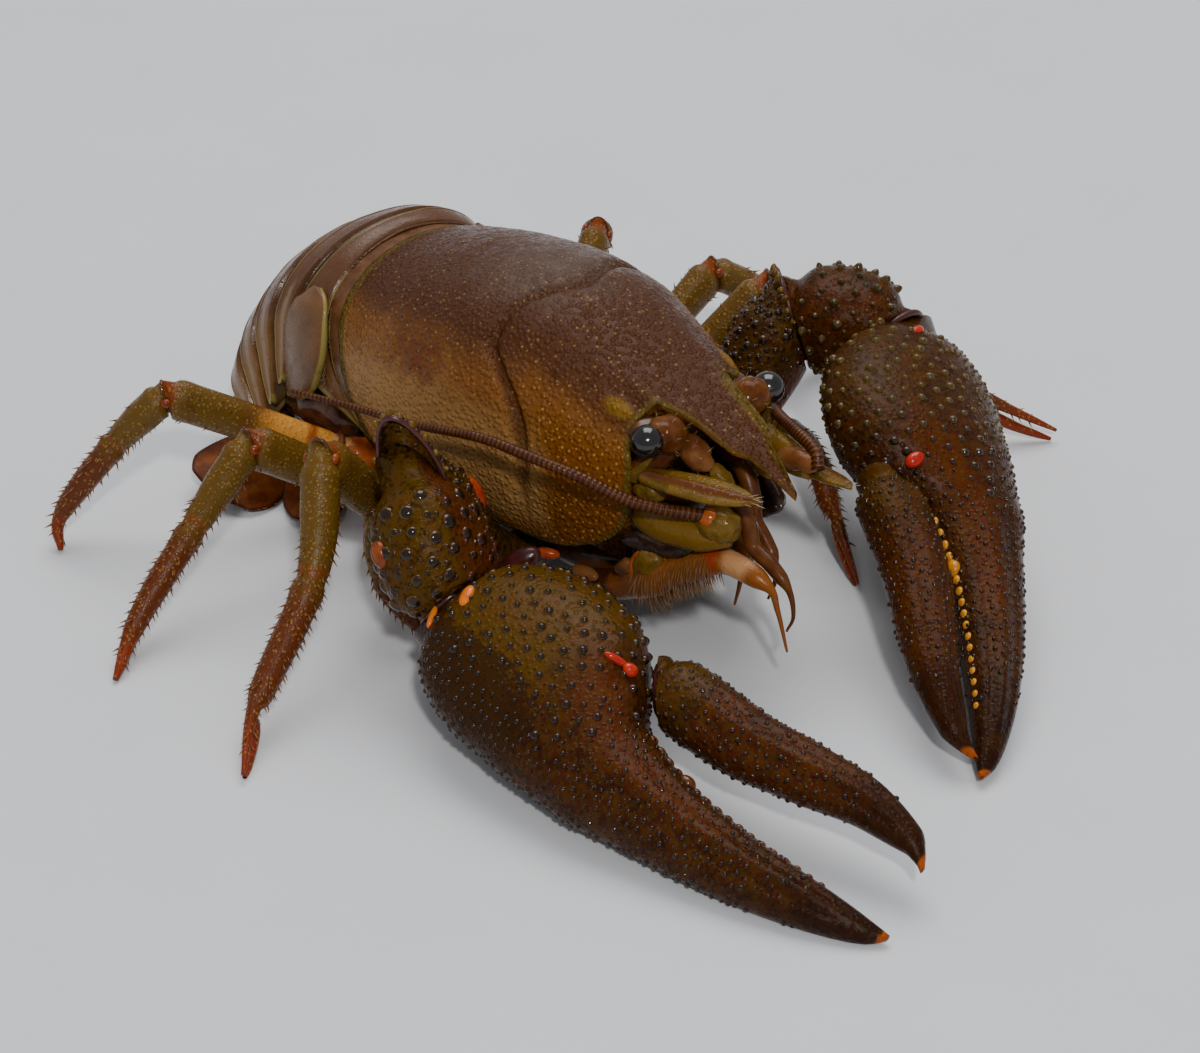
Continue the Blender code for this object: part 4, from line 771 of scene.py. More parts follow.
def make_shell():
    """Make the shield with its groove, rims and grains, and the rostrum in front of it."""
    side = np.linspace(-1, -ROSTRUM_SHARE, SHELL_SIDE_COLUMNS)
    inner = np.linspace(-ROSTRUM_SHARE, ROSTRUM_SHARE, BEAK_COLUMNS)
    columns = np.concatenate([side, inner[1:-1], -side[::-1]])
    first = len(side) - 1
    last = len(columns) - len(side)
    count = len(columns)
    u = abs(columns)
    rear = smooth(REAR_MARGIN, u)
    groove = smooth(GROOVE_LINE, u)
    front = smooth(FRONT_MARGIN, np.maximum(u, ROSTRUM_SHARE))
    behind = np.linspace(0, 1, SHELL_REAR_ROWS)[:-1]
    before = np.linspace(0, 1, SHELL_FRONT_ROWS)
    y = np.concatenate([rear + (groove - rear) * behind[:, None],
                        groove + (front - groove) * before[:, None]])
    q = np.tile(columns, (len(y), 1))
    rows = len(y)
    p = shield_points(q, y)
    normal = grid_normals(p, False)
    normal *= np.sign(np.sum(normal * (p - np.array([0, 5.0, 20.0])), axis=-1, keepdims=True))
    uu = abs(q)
    # Fine raised grains all over, stronger on the cheeks
    ahead = ease(2.0, -6.0, y - (smooth(GROOVE_LINE, uu) - 2.0))
    cheek = ahead * ease(0.3, 0.5, uu)
    tall = 0.07 + 0.07 * ease(0.25, 0.6, uu)
    p = p + normal * ((lumps(p, 1.0, 3, 1.5) - 1) * tall)[..., None]
    rear_share = ease(2.4, 0.5, rear[None, :] - y)
    low_share = ease(0.94, 0.985, uu)
    front_share = ease(1.3, 0.3, y - front[None, :]) * ease(0.15, 0.17, uu)
    points = [p.reshape(-1, 3)]
    faces = grid_faces(rows, count, False)
    ridge = 0.6 * bell(uu, ROSTRUM_SHARE, 0.028) * ease(-11.0, -17.0, y)
    marks = {"top": ease(0.5, 0.22, uu + 0.04 * ahead),
             "flank": ease(0.4, 0.62, uu) * (1 - ahead) * ease(1.0, 0.8, uu),
             "cheek": cheek * (1 - 0.5 * ease(0.84, 0.94, uu)),
             # Painted shade: darker in the groove, by its depth
             "groove": smooth(GROOVE_DEPTH, uu) * bell(y, smooth(GROOVE_LINE, uu), 1.3) * 0.8,
             "rim": np.maximum(np.maximum(rear_share, low_share), np.maximum(front_share, ridge)),
             "maroon": 0.62 * bell(uu, 0.42, 0.12) * bell(y, 15.0, 9.0),
             # Painted reflection: a pale patch along the top middle where the overhead light shines
             "sheen": ease(0.3, 0.1, uu) * (0.55 * bell(y, 8.0, 10.0)),
             "ochre": bell(uu, 0.26, 0.035) * bell(y, -14.0, 2.0) * 1.2,
             "pimple": cheek * ease(0.98, 0.93, uu) * (1 - front_share)}
    marks = {k: [v.ravel()] for k, v in marks.items()}
    # The rostrum goes on from the middle columns of the last row
    along = ORBIT_Y + (ROSTRUM_TIP_Y - ORBIT_Y) * (np.arange(1, BEAK_ROWS + 1) / BEAK_ROWS) ** 0.9
    span = columns[first:last + 1]
    beak_q, beak_y = np.meshgrid(span, along)
    beak = rostrum_points(beak_q, beak_y)
    start = rows * count
    wide = len(span)
    points.append(beak.reshape(-1, 3))
    e = abs(beak_q) / ROSTRUM_SHARE
    marks["top"].append((1 - 0.6 * ease(0.5, 0.9, e)).ravel())
    marks["rim"].append(ease(0.66, 0.86, e).ravel())
    joint = [(rows - 1) * count + first + i for i in range(wide)]
    for i in range(wide - 1):
        faces.append((joint[i], joint[i + 1], start + i + 1, start + i))
    faces += grid_faces(BEAK_ROWS, wide, False, start)
    # The rostrum's underside
    under_start = start + BEAK_ROWS * wide
    edge_rows = np.concatenate([p[rows - 1:rows, first:last + 1], beak])
    ring = np.linspace(-1, 1, BEAK_RIBS)[1:-1]
    under = []
    for row in edge_rows:
        a, b = row[0], row[-1]
        deep = 0.9 + 0.2 * np.linalg.norm(b - a)
        for k in ring:
            under.append((a + b) / 2 + (b - a) / 2 * k - np.array([0, 0, deep * (1 - k * k) ** 0.5]))
    points.append(np.array(under))
    ribs = len(ring)
    edge_left = [joint[0]] + [start + r * wide for r in range(BEAK_ROWS)]
    edge_right = [joint[-1]] + [start + r * wide + wide - 1 for r in range(BEAK_ROWS)]
    for r in range(BEAK_ROWS):
        a = [edge_left[r]] + [under_start + r * ribs + i for i in range(ribs)] + [edge_right[r]]
        b = [edge_left[r + 1]] + [under_start + (r + 1) * ribs + i for i in range(ribs)] + [edge_right[r + 1]]
        for i in range(len(a) - 1):
            faces.append((a[i], a[i + 1], b[i + 1], b[i]))
    final = [start + (BEAK_ROWS - 1) * wide + i for i in range(wide)]
    faces.append(tuple(final + [under_start + BEAK_ROWS * ribs + i for i in range(ribs - 1, -1, -1)]))
    # The underside closes from the margin over a rolled rim to a flat floor
    front_row = (rows - 1) * count
    loop = list(range(count))
    loop += [r * count + count - 1 for r in range(1, rows)]
    loop += [front_row + i for i in range(count - 2, last - 1, -1)]
    loop += [under_start + i for i in range(ribs - 1, -1, -1)]
    loop += [front_row + i for i in range(first, -1, -1)]
    loop += [r * count for r in range(rows - 2, 0, -1)]
    every = np.vstack(points)
    edge = every[loop]
    middle = smooth(WIDEST_HEIGHT, edge[:, 1])
    low = smooth(LOWER_MARGIN, edge[:, 1])
    rim = np.stack([edge[:, 0] * 0.93, edge[:, 1] - 0.5 * np.sign(edge[:, 1]),
                    middle + (edge[:, 2] - middle) * 0.94], axis=1)
    share = np.clip((edge[:, 2] - low) / 20.0, 0, 1)
    floor = np.stack([edge[:, 0] * (0.84 - 0.2 * share),
                      edge[:, 1] * 0.93 + np.where(edge[:, 1] < 0, 1.2, -0.6), low + 0.9], axis=1)
    a = len(every)
    b = a + len(loop)
    heart = b + len(loop)
    points += [rim, floor, np.array([[0.0, 6.0, float(smooth(LOWER_MARGIN, 6.0)) + 0.9]])]
    for k in range(len(loop)):
        n = (k + 1) % len(loop)
        faces.append((loop[k], loop[n], a + n, a + k))
        faces.append((a + k, a + n, b + n, b + k))
        faces.append((b + k, b + n, heart))
    shell = make_piece("shell", np.vstack(points), faces, SHELL, ["carapace"],
                       {k: np.concatenate(v) for k, v in marks.items()})
    scatter("shell_grains", shell, GRAIN, SHELL_GRAIN, "pimple", 1.0, (0.3, 0.55), 3)


# ---- The tail
TAIL_ROUTE = route([(0.0, y, z) for y, z in BACK_LINE], 401)


def tail_points(q, t, raised):
    """Give the tail's outer surface at shares q round it and places t along the back line."""
    share = np.linspace(0, 1, len(TAIL_ROUTE))
    at = np.stack([np.interp(t, share, TAIL_ROUTE[:, k]) for k in range(3)], axis=-1)
    out = unit(at - np.array([0.0, *TAIL_HUB]))
    u = abs(q)
    half = smooth(TAIL_HALF_WIDTH, t) + raised
    arch = smooth(TAIL_ARCH, t)
    angle = np.minimum(u / WIDE_SHARE, 1) * pi / 2
    s = np.maximum(u - WIDE_SHARE, 0) / (1 - WIDE_SHARE)
    upper = u <= WIDE_SHARE
    x = np.where(upper, half * np.sin(angle) ** 0.95, half * (1 + 0.03 * s))
    drop = np.where(upper, arch * (1 - np.maximum(np.cos(angle), 0) ** 0.95),
                    arch + smooth(PLEURON_LENGTH, t) * s)
    place = at + out * (raised - drop)[..., None]
    place[..., 0] = np.where(q >= 0, x, -x) - TAIL_BEND * t * t
    return place


def make_somite(index):
    """Make the arched tile of one tail segment, counted from 0 behind the shield."""
    start = SOMITE_EDGES[index]
    end = SOMITE_EDGES[index + 1] - 0.009
    rows, count = TILE_GRID
    q, r = np.meshgrid(np.linspace(-1, 1, count), np.linspace(0, 1, rows))
    u = abs(q)
    s = np.maximum(u - WIDE_SHARE, 0) / (1 - WIDE_SHARE)
    narrow = (1 - s ** 2.6) ** 0.5 * 0.84 + 0.16
    t = start + (end - start) * (0.5 + 0.12 * s) + (r - 0.5) * (end - start) * narrow
    step = TILE_STEP * ease(0.18, 0.34, r)
    p = tail_points(q, t, step)
    if index == 0:
        margin = shield_points(q, smooth(REAR_MARGIN, u))
        margin = np.stack([margin[..., 0] * 0.965, margin[..., 1] + 2.7, 20 + (margin[..., 2] - 20) * 0.95],
                          axis=-1)
        share = (1 - ease(0.0, 0.9, r))[..., None]
        p = margin * share + p * (1 - share)
    normal = grid_normals(p, False)
    heart = p.mean(axis=(0, 1)) - np.array([0, 0, 6.0])
    normal *= np.sign(np.sum(normal * (p - heart), axis=-1, keepdims=True))
    edge = np.maximum(ease(0.93, 0.975, r), ease(0.93, 0.975, u))
    edge = np.maximum(edge, ease(0.06, 0.02, r) * ease(0.55, 0.7, u))
    p = p + normal * (-0.12 + 0.12 * edge + 0.05 * wavy(p, 2.2, 5 + index) - 0.05)[..., None]
    faces = grid_faces(rows, count, False)
    loop = rim_loop(rows, count)
    flat = p.reshape(-1, 3)
    middle = (start + end) / 2
    share = np.linspace(0, 1, len(TAIL_ROUTE))
    at = np.array([np.interp(middle, share, TAIL_ROUTE[:, k]) for k in range(3)])
    out = unit(at - np.array([0.0, *TAIL_HUB]))
    heart = at - out * float(smooth(TAIL_ARCH, middle)) * 0.9 - np.array([TAIL_BEND * middle ** 2, 0, 0])
    ring = flat[loop] + (heart - flat[loop]) * 0.35
    a = len(flat)
    centre = a + len(loop)
    for k in range(len(loop)):
        n = (k + 1) % len(loop)
        faces.append((loop[k], loop[n], a + n, a + k))
        faces.append((a + k, a + n, centre))
    fringe = bell(u, 0.42, 0.16) * (ease(0.3, 0.2, r) if index == 0 else 0.0 * r)
    marks = {"side": ease(0.35, 0.7, u), "edge": edge * (0.55 + 0.45 * ease(0.5, 0.65, u)) + 0.9 * fringe,
             # Painted shade at the front of each tile, under the tile before it
             "hidden": 0.85 * ease(0.36, 0.14, r) * (0.0 if index == 0 else 1.0), "hair": fringe,
             # Painted highlight: a pale band round the tile's sides
             "streak": 0.75 * bell(r, 0.62, 0.16) * ease(0.3, 0.5, u)}
    tile = make_piece("somite_%d_tile" % (index + 1), np.vstack([flat, ring, heart[None]]), faces, TAIL,
                      ["somite_%d" % (index + 1)], marks)
    if index == 0:
        scatter("somite_fringe", tile, HAIR, CREAM, "hair", 0.5, (0.35, 0.7), 70, (0, -0.9, 0.6), 8.0)


def make_back_skin():
    """Make the soft skin that joins the shield's rear margin to the first somite."""
    rows, count = BACK_SKIN_GRID
    q, r = np.meshgrid(np.linspace(-0.86, 0.86, count), np.linspace(0, 1, rows))
    u = abs(q)
    front = shield_points(q, smooth(REAR_MARGIN, u) - 1.2)
    front = np.stack([front[..., 0] * 0.955, front[..., 1], 20 + (front[..., 2] - 20) * 0.945], axis=-1)
    rear = shield_points(q, smooth(REAR_MARGIN, u))
    rear = np.stack([rear[..., 0] * 0.95, rear[..., 1] + 3.4, 20 + (rear[..., 2] - 20) * 0.925], axis=-1)
    outer = front + (rear - front) * r[..., None]
    inner = outer * np.array([0.94, 1.0, 1.0]) - np.array([0, 0, 0.5])
    points = np.vstack([outer.reshape(-1, 3), inner.reshape(-1, 3)])
    faces = grid_faces(rows, count, False) + grid_faces(rows, count, False, rows * count)
    loop = rim_loop(rows, count)
    for k in range(len(loop)):
        a, b = loop[k], loop[(k + 1) % len(loop)]
        faces.append((a, b, b + rows * count, a + rows * count))
    make_piece("back_skin", points, faces, BACK_SKIN)


def make_side_lobes():
    """Make the large rounded side lobes of the second tail segment, with the soft tissue before them."""
    rows, sides = LOBE_GRID
    t = np.linspace(0, 1, rows)
    for side, sign, shift in (("r", -1, 0.0), ("l", 1, -0.8)):
        path = route([(12.9 * sign + shift, 38.6, 27.4), (14.4 * sign + shift, 38.3, 24.9),
                      (15.3 * sign + shift, 38.8, 20.5), (15.4 * sign + shift, 40.3, 15.6),
                      (15.3 * sign + shift, 42.4, 11.0)], rows)
        wide = smooth([(0, 0.6), (0.04, 2.0), (0.14, 3.6), (0.4, 5.2), (0.58, 5.0), (0.8, 3.4), (0.95, 1.4),
                       (1.0, 0.3)], t)
        grid = limb_grid(path, wide, 0.6 + 0.9 * np.sin(pi * t), (sign, 0.14, 0.25), sides, 2.0)
        points, faces = closed_tube(grid)
        c = np.tile(oval(sides, 2.2)[0], rows)
        along = np.repeat(t, sides)
        front = (grid[..., 1] < path[:, None, 1]).ravel()
        edge = np.maximum(ease(0.9, 0.97, abs(c)) * front, ease(0.955, 0.98, along))
        make_piece("side_lobe_" + side, points, faces, TAIL, (),
                   # Painted highlight: a pale stripe down the lobe's middle
                   {"side": np.full(len(c), 0.5), "edge": edge, "streak": 0.3 * bell(c, 0.1, 0.25)})
        bead("tail_root_" + side, (11.4 * sign + shift, 40.4, 8.8), (8.0, 4.4, 3.4), (0, 1, -0.15),
             (sign, 0, -0.5), DEEP_BROWN, 0.4)
        bead("pale_tissue_" + side, (13.3 * sign + shift, 36.9, 14.4), (1.5, 1.0, 0.8), (0, 1, -0.3),
             (sign, 0, 0), TAN, 0.3)
        tuft = bead("side_tissue_" + side, (14.4 * sign + shift, 35.2, 17.6), (3.6, 1.1, 0.8), (0, 0.2, 1),
                    (sign, -0.3, 0), TAN, 0.3)
        hairs_all_over("side_tuft_" + side, tuft, 0.5, 77, (0, -0.3, -0.8), 8.0)


def fan_plate(name, root, end, across, half, thick, node):
    """Make one plate of the tail fan with its raised ribs."""
    root, end = np.array(root, float), np.array(end, float)
    along = end - root
    across = unit(np.asarray(across, float) - unit(along) * np.dot(across, unit(along)))
    face = unit(np.cross(along, across))
    face = -face if face[2] < 0 else face
    rows, sides = FAN_GRID
    t = np.linspace(0, 1, rows)
    path = root + along * t[:, None]
    wide = smooth([(a, b * half) for a, b in FAN_WIDTH], t)
    grid = limb_grid(path, wide, thick / 2 * (1 - 0.5 * t * t), None, sides, 2.3,
                     axes=(unit(along), across, face))
    c, s = oval(sides, 2.3)
    upper = np.maximum(s, 0)[None, :]
    ribs = 0.35 * bell(c, 0.0, 0.12) + 0.2 * bell(abs(c), 0.55, 0.1)
    fade = np.sin(pi * np.clip(t * 0.92, 0, 1))[:, None] ** 0.5
    grid = grid + face * (ribs[None, :] * upper * fade * 0.6 * thick / 1.5)[..., None]
    points, faces = closed_tube(grid)
    edge = np.maximum(ease(0.86, 0.97, abs(c))[None, :] + 0 * t[:, None],
                      ease(0.9, 1.0, t)[:, None] + 0 * c[None, :])
    marks = {"edge": edge * 0.7, "fringe": ease(0.94, 0.99, abs(c))[None, :] * ease(0.3, 0.5, t)[:, None]}
    return make_piece(name, points, faces, FAN, [node], marks)


def make_fan():
    """Make the middle plate and the four side plates of the tail fan, tucked under the tail."""
    middle = -TAIL_BEND
    fan_plate("telson_plate", (middle, 46.6, 1.2), (middle + 0.5, 28.0, 1.0), (1, 0, 0), 6.2, 1.8, "telson")
    for side, sign in SIDES:
        fan_plate("fan_inner_" + side, (middle + sign * 6.8, 44.0, 1.2), (middle + sign * 16.6, 29.4, 1.0),
                  (0.85, -0.53 * sign, 0.0), 3.9, 1.4, "uropod_inner_" + side)
        outer = fan_plate("fan_outer_" + side, (middle + sign * 8.8, 45.9, 2.3),
                          (middle + sign * 23.6, 40.6, 2.4), (-0.31 * sign, 0.83, 0.24), 6.2, 1.5,
                          "uropod_outer_" + side)
        scatter("fan_hairs_" + side, outer, HAIR, CREAM, "fringe", 0.35, (0.25, 0.5), 61,
                (-0.2, -0.9, 0.1), 5.0)


# ---- The claws
def claw_frame(side):
    """Give a claw's main points and the palm's own directions."""
    inner = 1.0 if side == "r" else -1.0
    place = CLAWS[side]
    hip, elbow, wrist, tip = [np.array(place[key]) for key in ("hip", "elbow", "wrist", "tip")]
    axis = unit(tip - wrist)
    level = unit(np.cross(axis, (0, 0, 1)))
    level = level if level[0] * inner > 0 else -level
    rise = np.cross(level, axis)
    rise = rise if rise[2] > 0 else -rise
    lift = radians(CLAW_LIFT)
    return hip, elbow, wrist, axis, level * cos(lift) + rise * sin(lift), rise * cos(lift) - level * sin(lift)


def evenly(values, count):
    """Read a list of evenly spaced values at more places."""
    return smooth(list(zip(np.linspace(0, 1, len(values)), values)), np.linspace(0, 1, count))


def hoop(name, ring, thick, mat):
    """Make a soft ring that follows the closed line of ring points."""
    ring = np.array(ring)
    heart = ring.mean(0)
    out = unit(ring - heart)
    along = unit(np.roll(ring, -1, 0) - np.roll(ring, 1, 0))
    side = np.cross(along, out)
    turn = np.linspace(0, 2 * pi, 10, endpoint=False)
    grid = ring[:, None] + (out[:, None] * np.cos(turn)[None, :, None]
                            + side[:, None] * np.sin(turn)[None, :, None]) * thick
    rows, sides = grid.shape[:2]
    faces = grid_faces(rows, sides, True)
    last = (rows - 1) * sides
    faces += [(last + i, last + (i + 1) % sides, (i + 1) % sides, i) for i in range(sides)]
    make_piece(name, grid.reshape(-1, 3), faces, mat)


def egg(at, sizes, axis, out):
    """Give an egg's points and faces; sizes are half its length, half its width and half its height."""
    axis = unit(axis)
    out = unit(np.array(out, float) - axis * np.dot(out, axis))
    across = np.cross(out, axis)
    turn = np.linspace(0.08, pi - 0.08, 22)
    path = np.array(at) - axis * (np.cos(turn) * sizes[0])[:, None]
    grid = limb_grid(path, sizes[1] * np.sin(turn), sizes[2] * np.sin(turn), None, 22,
                     axes=(axis, across, out))
    return closed_tube(grid)


def bead(name, at, sizes, axis, out, mat, uneven=0.0):
    """Make one egg-shaped piece, its surface uneven by some millimetres."""
    points, faces = egg(at, sizes, axis, out)
    lump = wavy(points, 1.3, 8) + 0.6 * wavy(points, 0.6, 9)
    points = points + unit(points - np.array(at)) * (uneven * lump)[:, None]
    return make_piece(name, points, faces, mat)


def bead_row(name, eggs, mat):
    """Make one piece of several eggs that lie apart."""
    points, faces = [], []
    for more_points, more_faces in eggs:
        start = sum(len(part) for part in points)
        points.append(more_points)
        faces += [[start + i for i in face] for face in more_faces]
    return make_piece(name, np.vstack(points), faces, mat)


def claw_marks(side, along, c, s):
    """Give the colour and knob marks of the palm with its fixed finger, at places along, across and over."""
    near = side == "r"
    upper = ease(-0.25, 0.25, s)
    base = ease(30.0, 12.0, along)
    big = ease(1.5, 3.5, along) * ease(31.0, 24.0, along) * ease(-0.75, -0.15, c) * ease(-0.35, 0.1, s)
    small = ease(1.0, 3.0, along) * ease(60.0, 48.0, along) * ease(-0.8, -0.3, s)
    return {"olive": base * (0.95 if near else 0.35) * (0.45 + 0.55 * ease(-1.0, 0.2, c)),
            "red": ease(10.0, 26.0, along) * ease(58.0, 40.0, along) * bell(c, 0.3, 0.5) * upper * 0.8,
            "freckle": base * ease(0.1, -0.6, c) if near else 0.2 * base,
            "tip": ease(65.0, 65.8, along), "knob": big, "pimple": np.maximum(small - big, 0.0),
            "pale": np.full(along.shape, 0.0 if near else 0.8) * base, "dark": ease(46.0, 60.0, along) * 0.6}


def shape_palm(grid, a, c, s, back):
    """Raise the ridge along the fixed finger, the collar before the hinge and the dents beside them."""
    upper = np.maximum(s, 0)[None, :]
    lower = np.maximum(-s, 0)[None, :]
    finger = (ease(26.0, 34.0, a) * ease(64.0, 56.0, a))[:, None]
    ridge = 0.32 * bell(c, 0.1, 0.22) - 0.3 * bell(c, 0.52, 0.16) - 0.26 * bell(c, -0.38, 0.18)
    lift = finger * ridge[None, :] * upper + finger * 0.2 * bell(c, 0.0, 0.3)[None, :] * -lower
    inner = ease(0.25, 0.8, c)[None, :]
    collar = 0.4 * bell(a, 21.6, 1.1)[:, None] * inner - 0.55 * bell(a, 24.6, 1.5)[:, None] * inner
    return grid + back * (lift + collar * upper)[..., None]


def make_claw(side):
    """Make one claw: upper arm, wrist, palm with its fixed finger, moving finger, and the teeth on them."""
    inner = 1.0 if side == "r" else -1.0
    near = side == "r"
    hip, elbow, wrist, axis, towards, back = claw_frame(side)
    elbow_normal = unit(unit(elbow - hip) + unit(wrist - elbow))
    wrist_normal = unit(unit(wrist - elbow) + axis)
    outward = np.array([-inner, 0.0, 0.0])
    rows, sides = ARM_GRID
    path = route([hip, hip + outward * 4.5, hip + (elbow - hip) * 0.55 + outward * 1.6 + UNDER_SHIELD, elbow],
                 rows)
    grid = limb_grid(path, evenly([2.4, 2.9, 3.5, 3.9, 4.3, 4.8, 5.2, 5.5, 5.6, 5.2], rows),
                     evenly([2.1, 2.2, 2.4, 2.7, 3.3, 4.0, 4.6, 4.9, 4.9, 4.6], rows), (0.0, -1.0, 0.15),
                     sides, 2.3, cuts=(None, (elbow - elbow_normal * GAP / 2, elbow_normal)))
    points, faces = closed_tube(grid)
    outer = unit((grid - grid.mean(1, keepdims=True)).reshape(-1, 3))
    share = np.repeat(np.linspace(0, 1, rows), sides)
    top = ease(-0.1, 0.7, outer[:, 2] - 0.3 * outer[:, 1])
    arm = make_piece("arm_" + side, points, faces, CLAW, ["claw_merus_" + side],
                     {"olive": (0.85 if near else 0.55) * top, "red": 0.9 * (1 - top), "freckle": 0.5 * top,
                      "dark": 0.25 * (1 - top), "knob": top * ease(0.5, 0.7, share),
                      "pimple": top * ease(0.2, 0.5, share),
                      "spine": ease(0.925, 0.95, share) * ease(0.995, 0.985, share)})
    scatter("arm_spines_" + side, arm, SPIKE, CLAW_KNOB, "spine", 1.5, (0.7, 1.2), 60,
            elbow_normal * 0.5)
    elbow_rim = grid[-1]
    hoop("elbow_skin_" + side, elbow + (grid[-1] - elbow) * 0.97 + elbow_normal * GAP / 2, 0.42, SKIN)
    rows, sides = WRIST_GRID
    path = route([elbow, (elbow + wrist) / 2 + unit(elbow + wrist - 2 * hip) * 0.4, wrist], rows)
    grid = limb_grid(path, evenly([4.9, 5.8, 6.4, 6.8, 7.0, 7.0, 6.8, 6.4, 5.6], rows),
                     evenly([4.6, 5.3, 5.8, 6.1, 6.2, 6.1, 5.8, 5.4, 4.9], rows), axis, sides, 2.4,
                     cuts=((elbow + elbow_normal * GAP / 2, -elbow_normal), (wrist - wrist_normal * GAP / 2,
                                                                            wrist_normal)))
    points, faces = closed_tube(grid)
    outer = unit((grid - grid.mean(1, keepdims=True)).reshape(-1, 3))
    share = np.repeat(np.linspace(0, 1, rows), sides)
    green = ease(-0.1, 0.5, outer @ unit(np.array([-inner, 0.1, 0.25])))
    band = ease(0.1, 0.22, share) * ease(0.97, 0.86, share)
    wrist_piece = make_piece("wrist_" + side, points, faces, CLAW, ["claw_carpus_" + side],
                             {"olive": (0.9 if near else 0.5) * green,
                              "red": (0.9 if near else 0.6) * (1 - green),
                              "freckle": np.full(len(share), 0.4), "knob": band, "pimple": 0.6 * band,
                              "pale": np.full(len(share), 0.0 if near else 0.5)})
    hoop("wrist_skin_" + side, wrist + (grid[-1] - wrist) * 0.97 + wrist_normal * GAP / 2, 0.45, SKIN)
    rows, sides = PALM_GRID
    a = np.linspace(0.5, 66.0, rows)
    path = (wrist + axis * a[:, None] + towards * smooth(PALM_MIDDLE, a)[:, None]
            + back * smooth(PALM_RISE, a)[:, None])
    grid = limb_grid(path, smooth(PALM_HALF_WIDTH, a), smooth(PALM_HALF_THICKNESS, a), None, sides, 2.2,
                     axes=(axis, towards, back), cuts=((wrist + wrist_normal * GAP / 2, -wrist_normal), None))
    c, s = oval(sides, 2.2)
    grid = shape_palm(grid, a, c, s, back)
    points, faces = closed_tube(grid)
    palm = make_piece("palm_" + side, points, faces, CLAW, ["claw_palm_" + side],
                      claw_marks(side, np.repeat(a, sides), np.tile(c, rows), np.tile(s, rows)))
    rows, sides = FINGER_GRID
    a = np.linspace(FINGER_START, FINGER_END, rows)
    close = CLAWS[side]["closed"] / (FINGER_END - FINGER_START)
    b = smooth(FINGER_MIDDLE, a) - close * (a - FINGER_START)
    path = wrist + axis * a[:, None] + towards * b[:, None] + back * (smooth(PALM_RISE, a) + 0.5)[:, None]
    hinge = wrist + axis * HINGE_AT[0] + towards * HINGE_AT[1]
    grid = limb_grid(path, smooth(FINGER_HALF_WIDTH, a), smooth(FINGER_HALF_THICKNESS, a), None, sides, 2.2,
                     axes=(axis, towards, back),
                     cuts=((hinge, -axis * HINGE_FACE[0] - towards * HINGE_FACE[1]), None))
    c, s = oval(sides, 2.2)
    ridge = 0.28 * bell(c, 0.0, 0.22) - 0.24 * bell(c, 0.45, 0.16) - 0.24 * bell(c, -0.45, 0.16)
    body = (ease(30.0, 36.0, a) * ease(62.0, 55.0, a))[:, None] * ridge[None, :] * np.maximum(s, 0)[None, :]
    grid = grid + back * body[..., None]
    points, faces = closed_tube(grid)
    along = np.repeat(a, sides)
    s = np.tile(s, rows)
    small = ease(26.0, 28.0, along) * ease(60.0, 50.0, along) * ease(-0.8, -0.3, s)
    finger = make_piece("finger_" + side, points, faces, CLAW, ["claw_finger_" + side],
                        {"olive": 0.5 * ease(40.0, 28.0, along), "red": 0.5 * ease(30.0, 36.0, along),
                         "tip": ease(62.8, 63.7, along), "freckle": np.full(len(along), 0.2),
                         "dark": ease(44.0, 58.0, along) * 0.6, "pimple": small})
    seed = 10 if near else 30
    point_on = tuple(axis * 0.35)
    for number, piece in enumerate((arm, palm, finger)):
        if piece is not finger:
            scatter(piece.name + "_knobs", piece, KNOB, CLAW_KNOB, "knob", 1.95, (0.7, 1.2),
                    seed + number, point_on)
        scatter(piece.name + "_pimples", piece, KNOB, CLAW_KNOB, "pimple", 1.0, (0.35, 0.68),
                seed + 5 + number, point_on)
    scatter("wrist_knobs_" + side, wrist_piece, PAD if near else SPIKE, CLAW_KNOB, "knob", 2.4,
            (0.7, 1.35), seed + 8, point_on)
    scatter("wrist_pimples_" + side, wrist_piece, KNOB, CLAW_KNOB, "pimple", 1.5, (0.4, 0.8),
            seed + 9)
    fold = axis * HINGE_FACE[0] + towards * HINGE_FACE[1]
    bead("hinge_skin_" + side, hinge + back * 0.3, (1.0, 3.7, 3.3), fold, back, SKIN, 0.15)
    # Teeth along the cutting edge of the fixed finger
    teeth = []
    for k, at in enumerate(np.linspace(31.0, 57.0, 17)):
        wide = float(smooth(PALM_HALF_WIDTH, at))
        spot = wrist + axis * at + towards * (float(smooth(PALM_MIDDLE, at)) + wide * 0.93)
        spot = spot + back * (float(smooth(PALM_RISE, at)) + 0.28 * float(smooth(PALM_HALF_THICKNESS, at)))
        size = 1.15 if k == 4 else 0.72 - 0.016 * k
        teeth.append(egg(spot, (size, size * 0.9, size * 0.75), axis, towards))
    bead_row("teeth_" + side, teeth, TOOTH_DARK if near else TOOTH)
    # Ragged teeth round the elbow end of the wrist
    spines = []
    for k in range(0, len(elbow_rim), 4):
        out = unit(elbow_rim[k] - elbow_rim.mean(0))
        tall = 0.75 + 0.35 * sin(k * 2.3)
        spines.append(egg(elbow_rim[k] - elbow_normal * 0.2, (tall, 0.45, 0.45), out + elbow_normal * 0.4,
                          elbow_normal))
    bead_row("elbow_teeth_" + side, spines, PLATE_OLIVE)


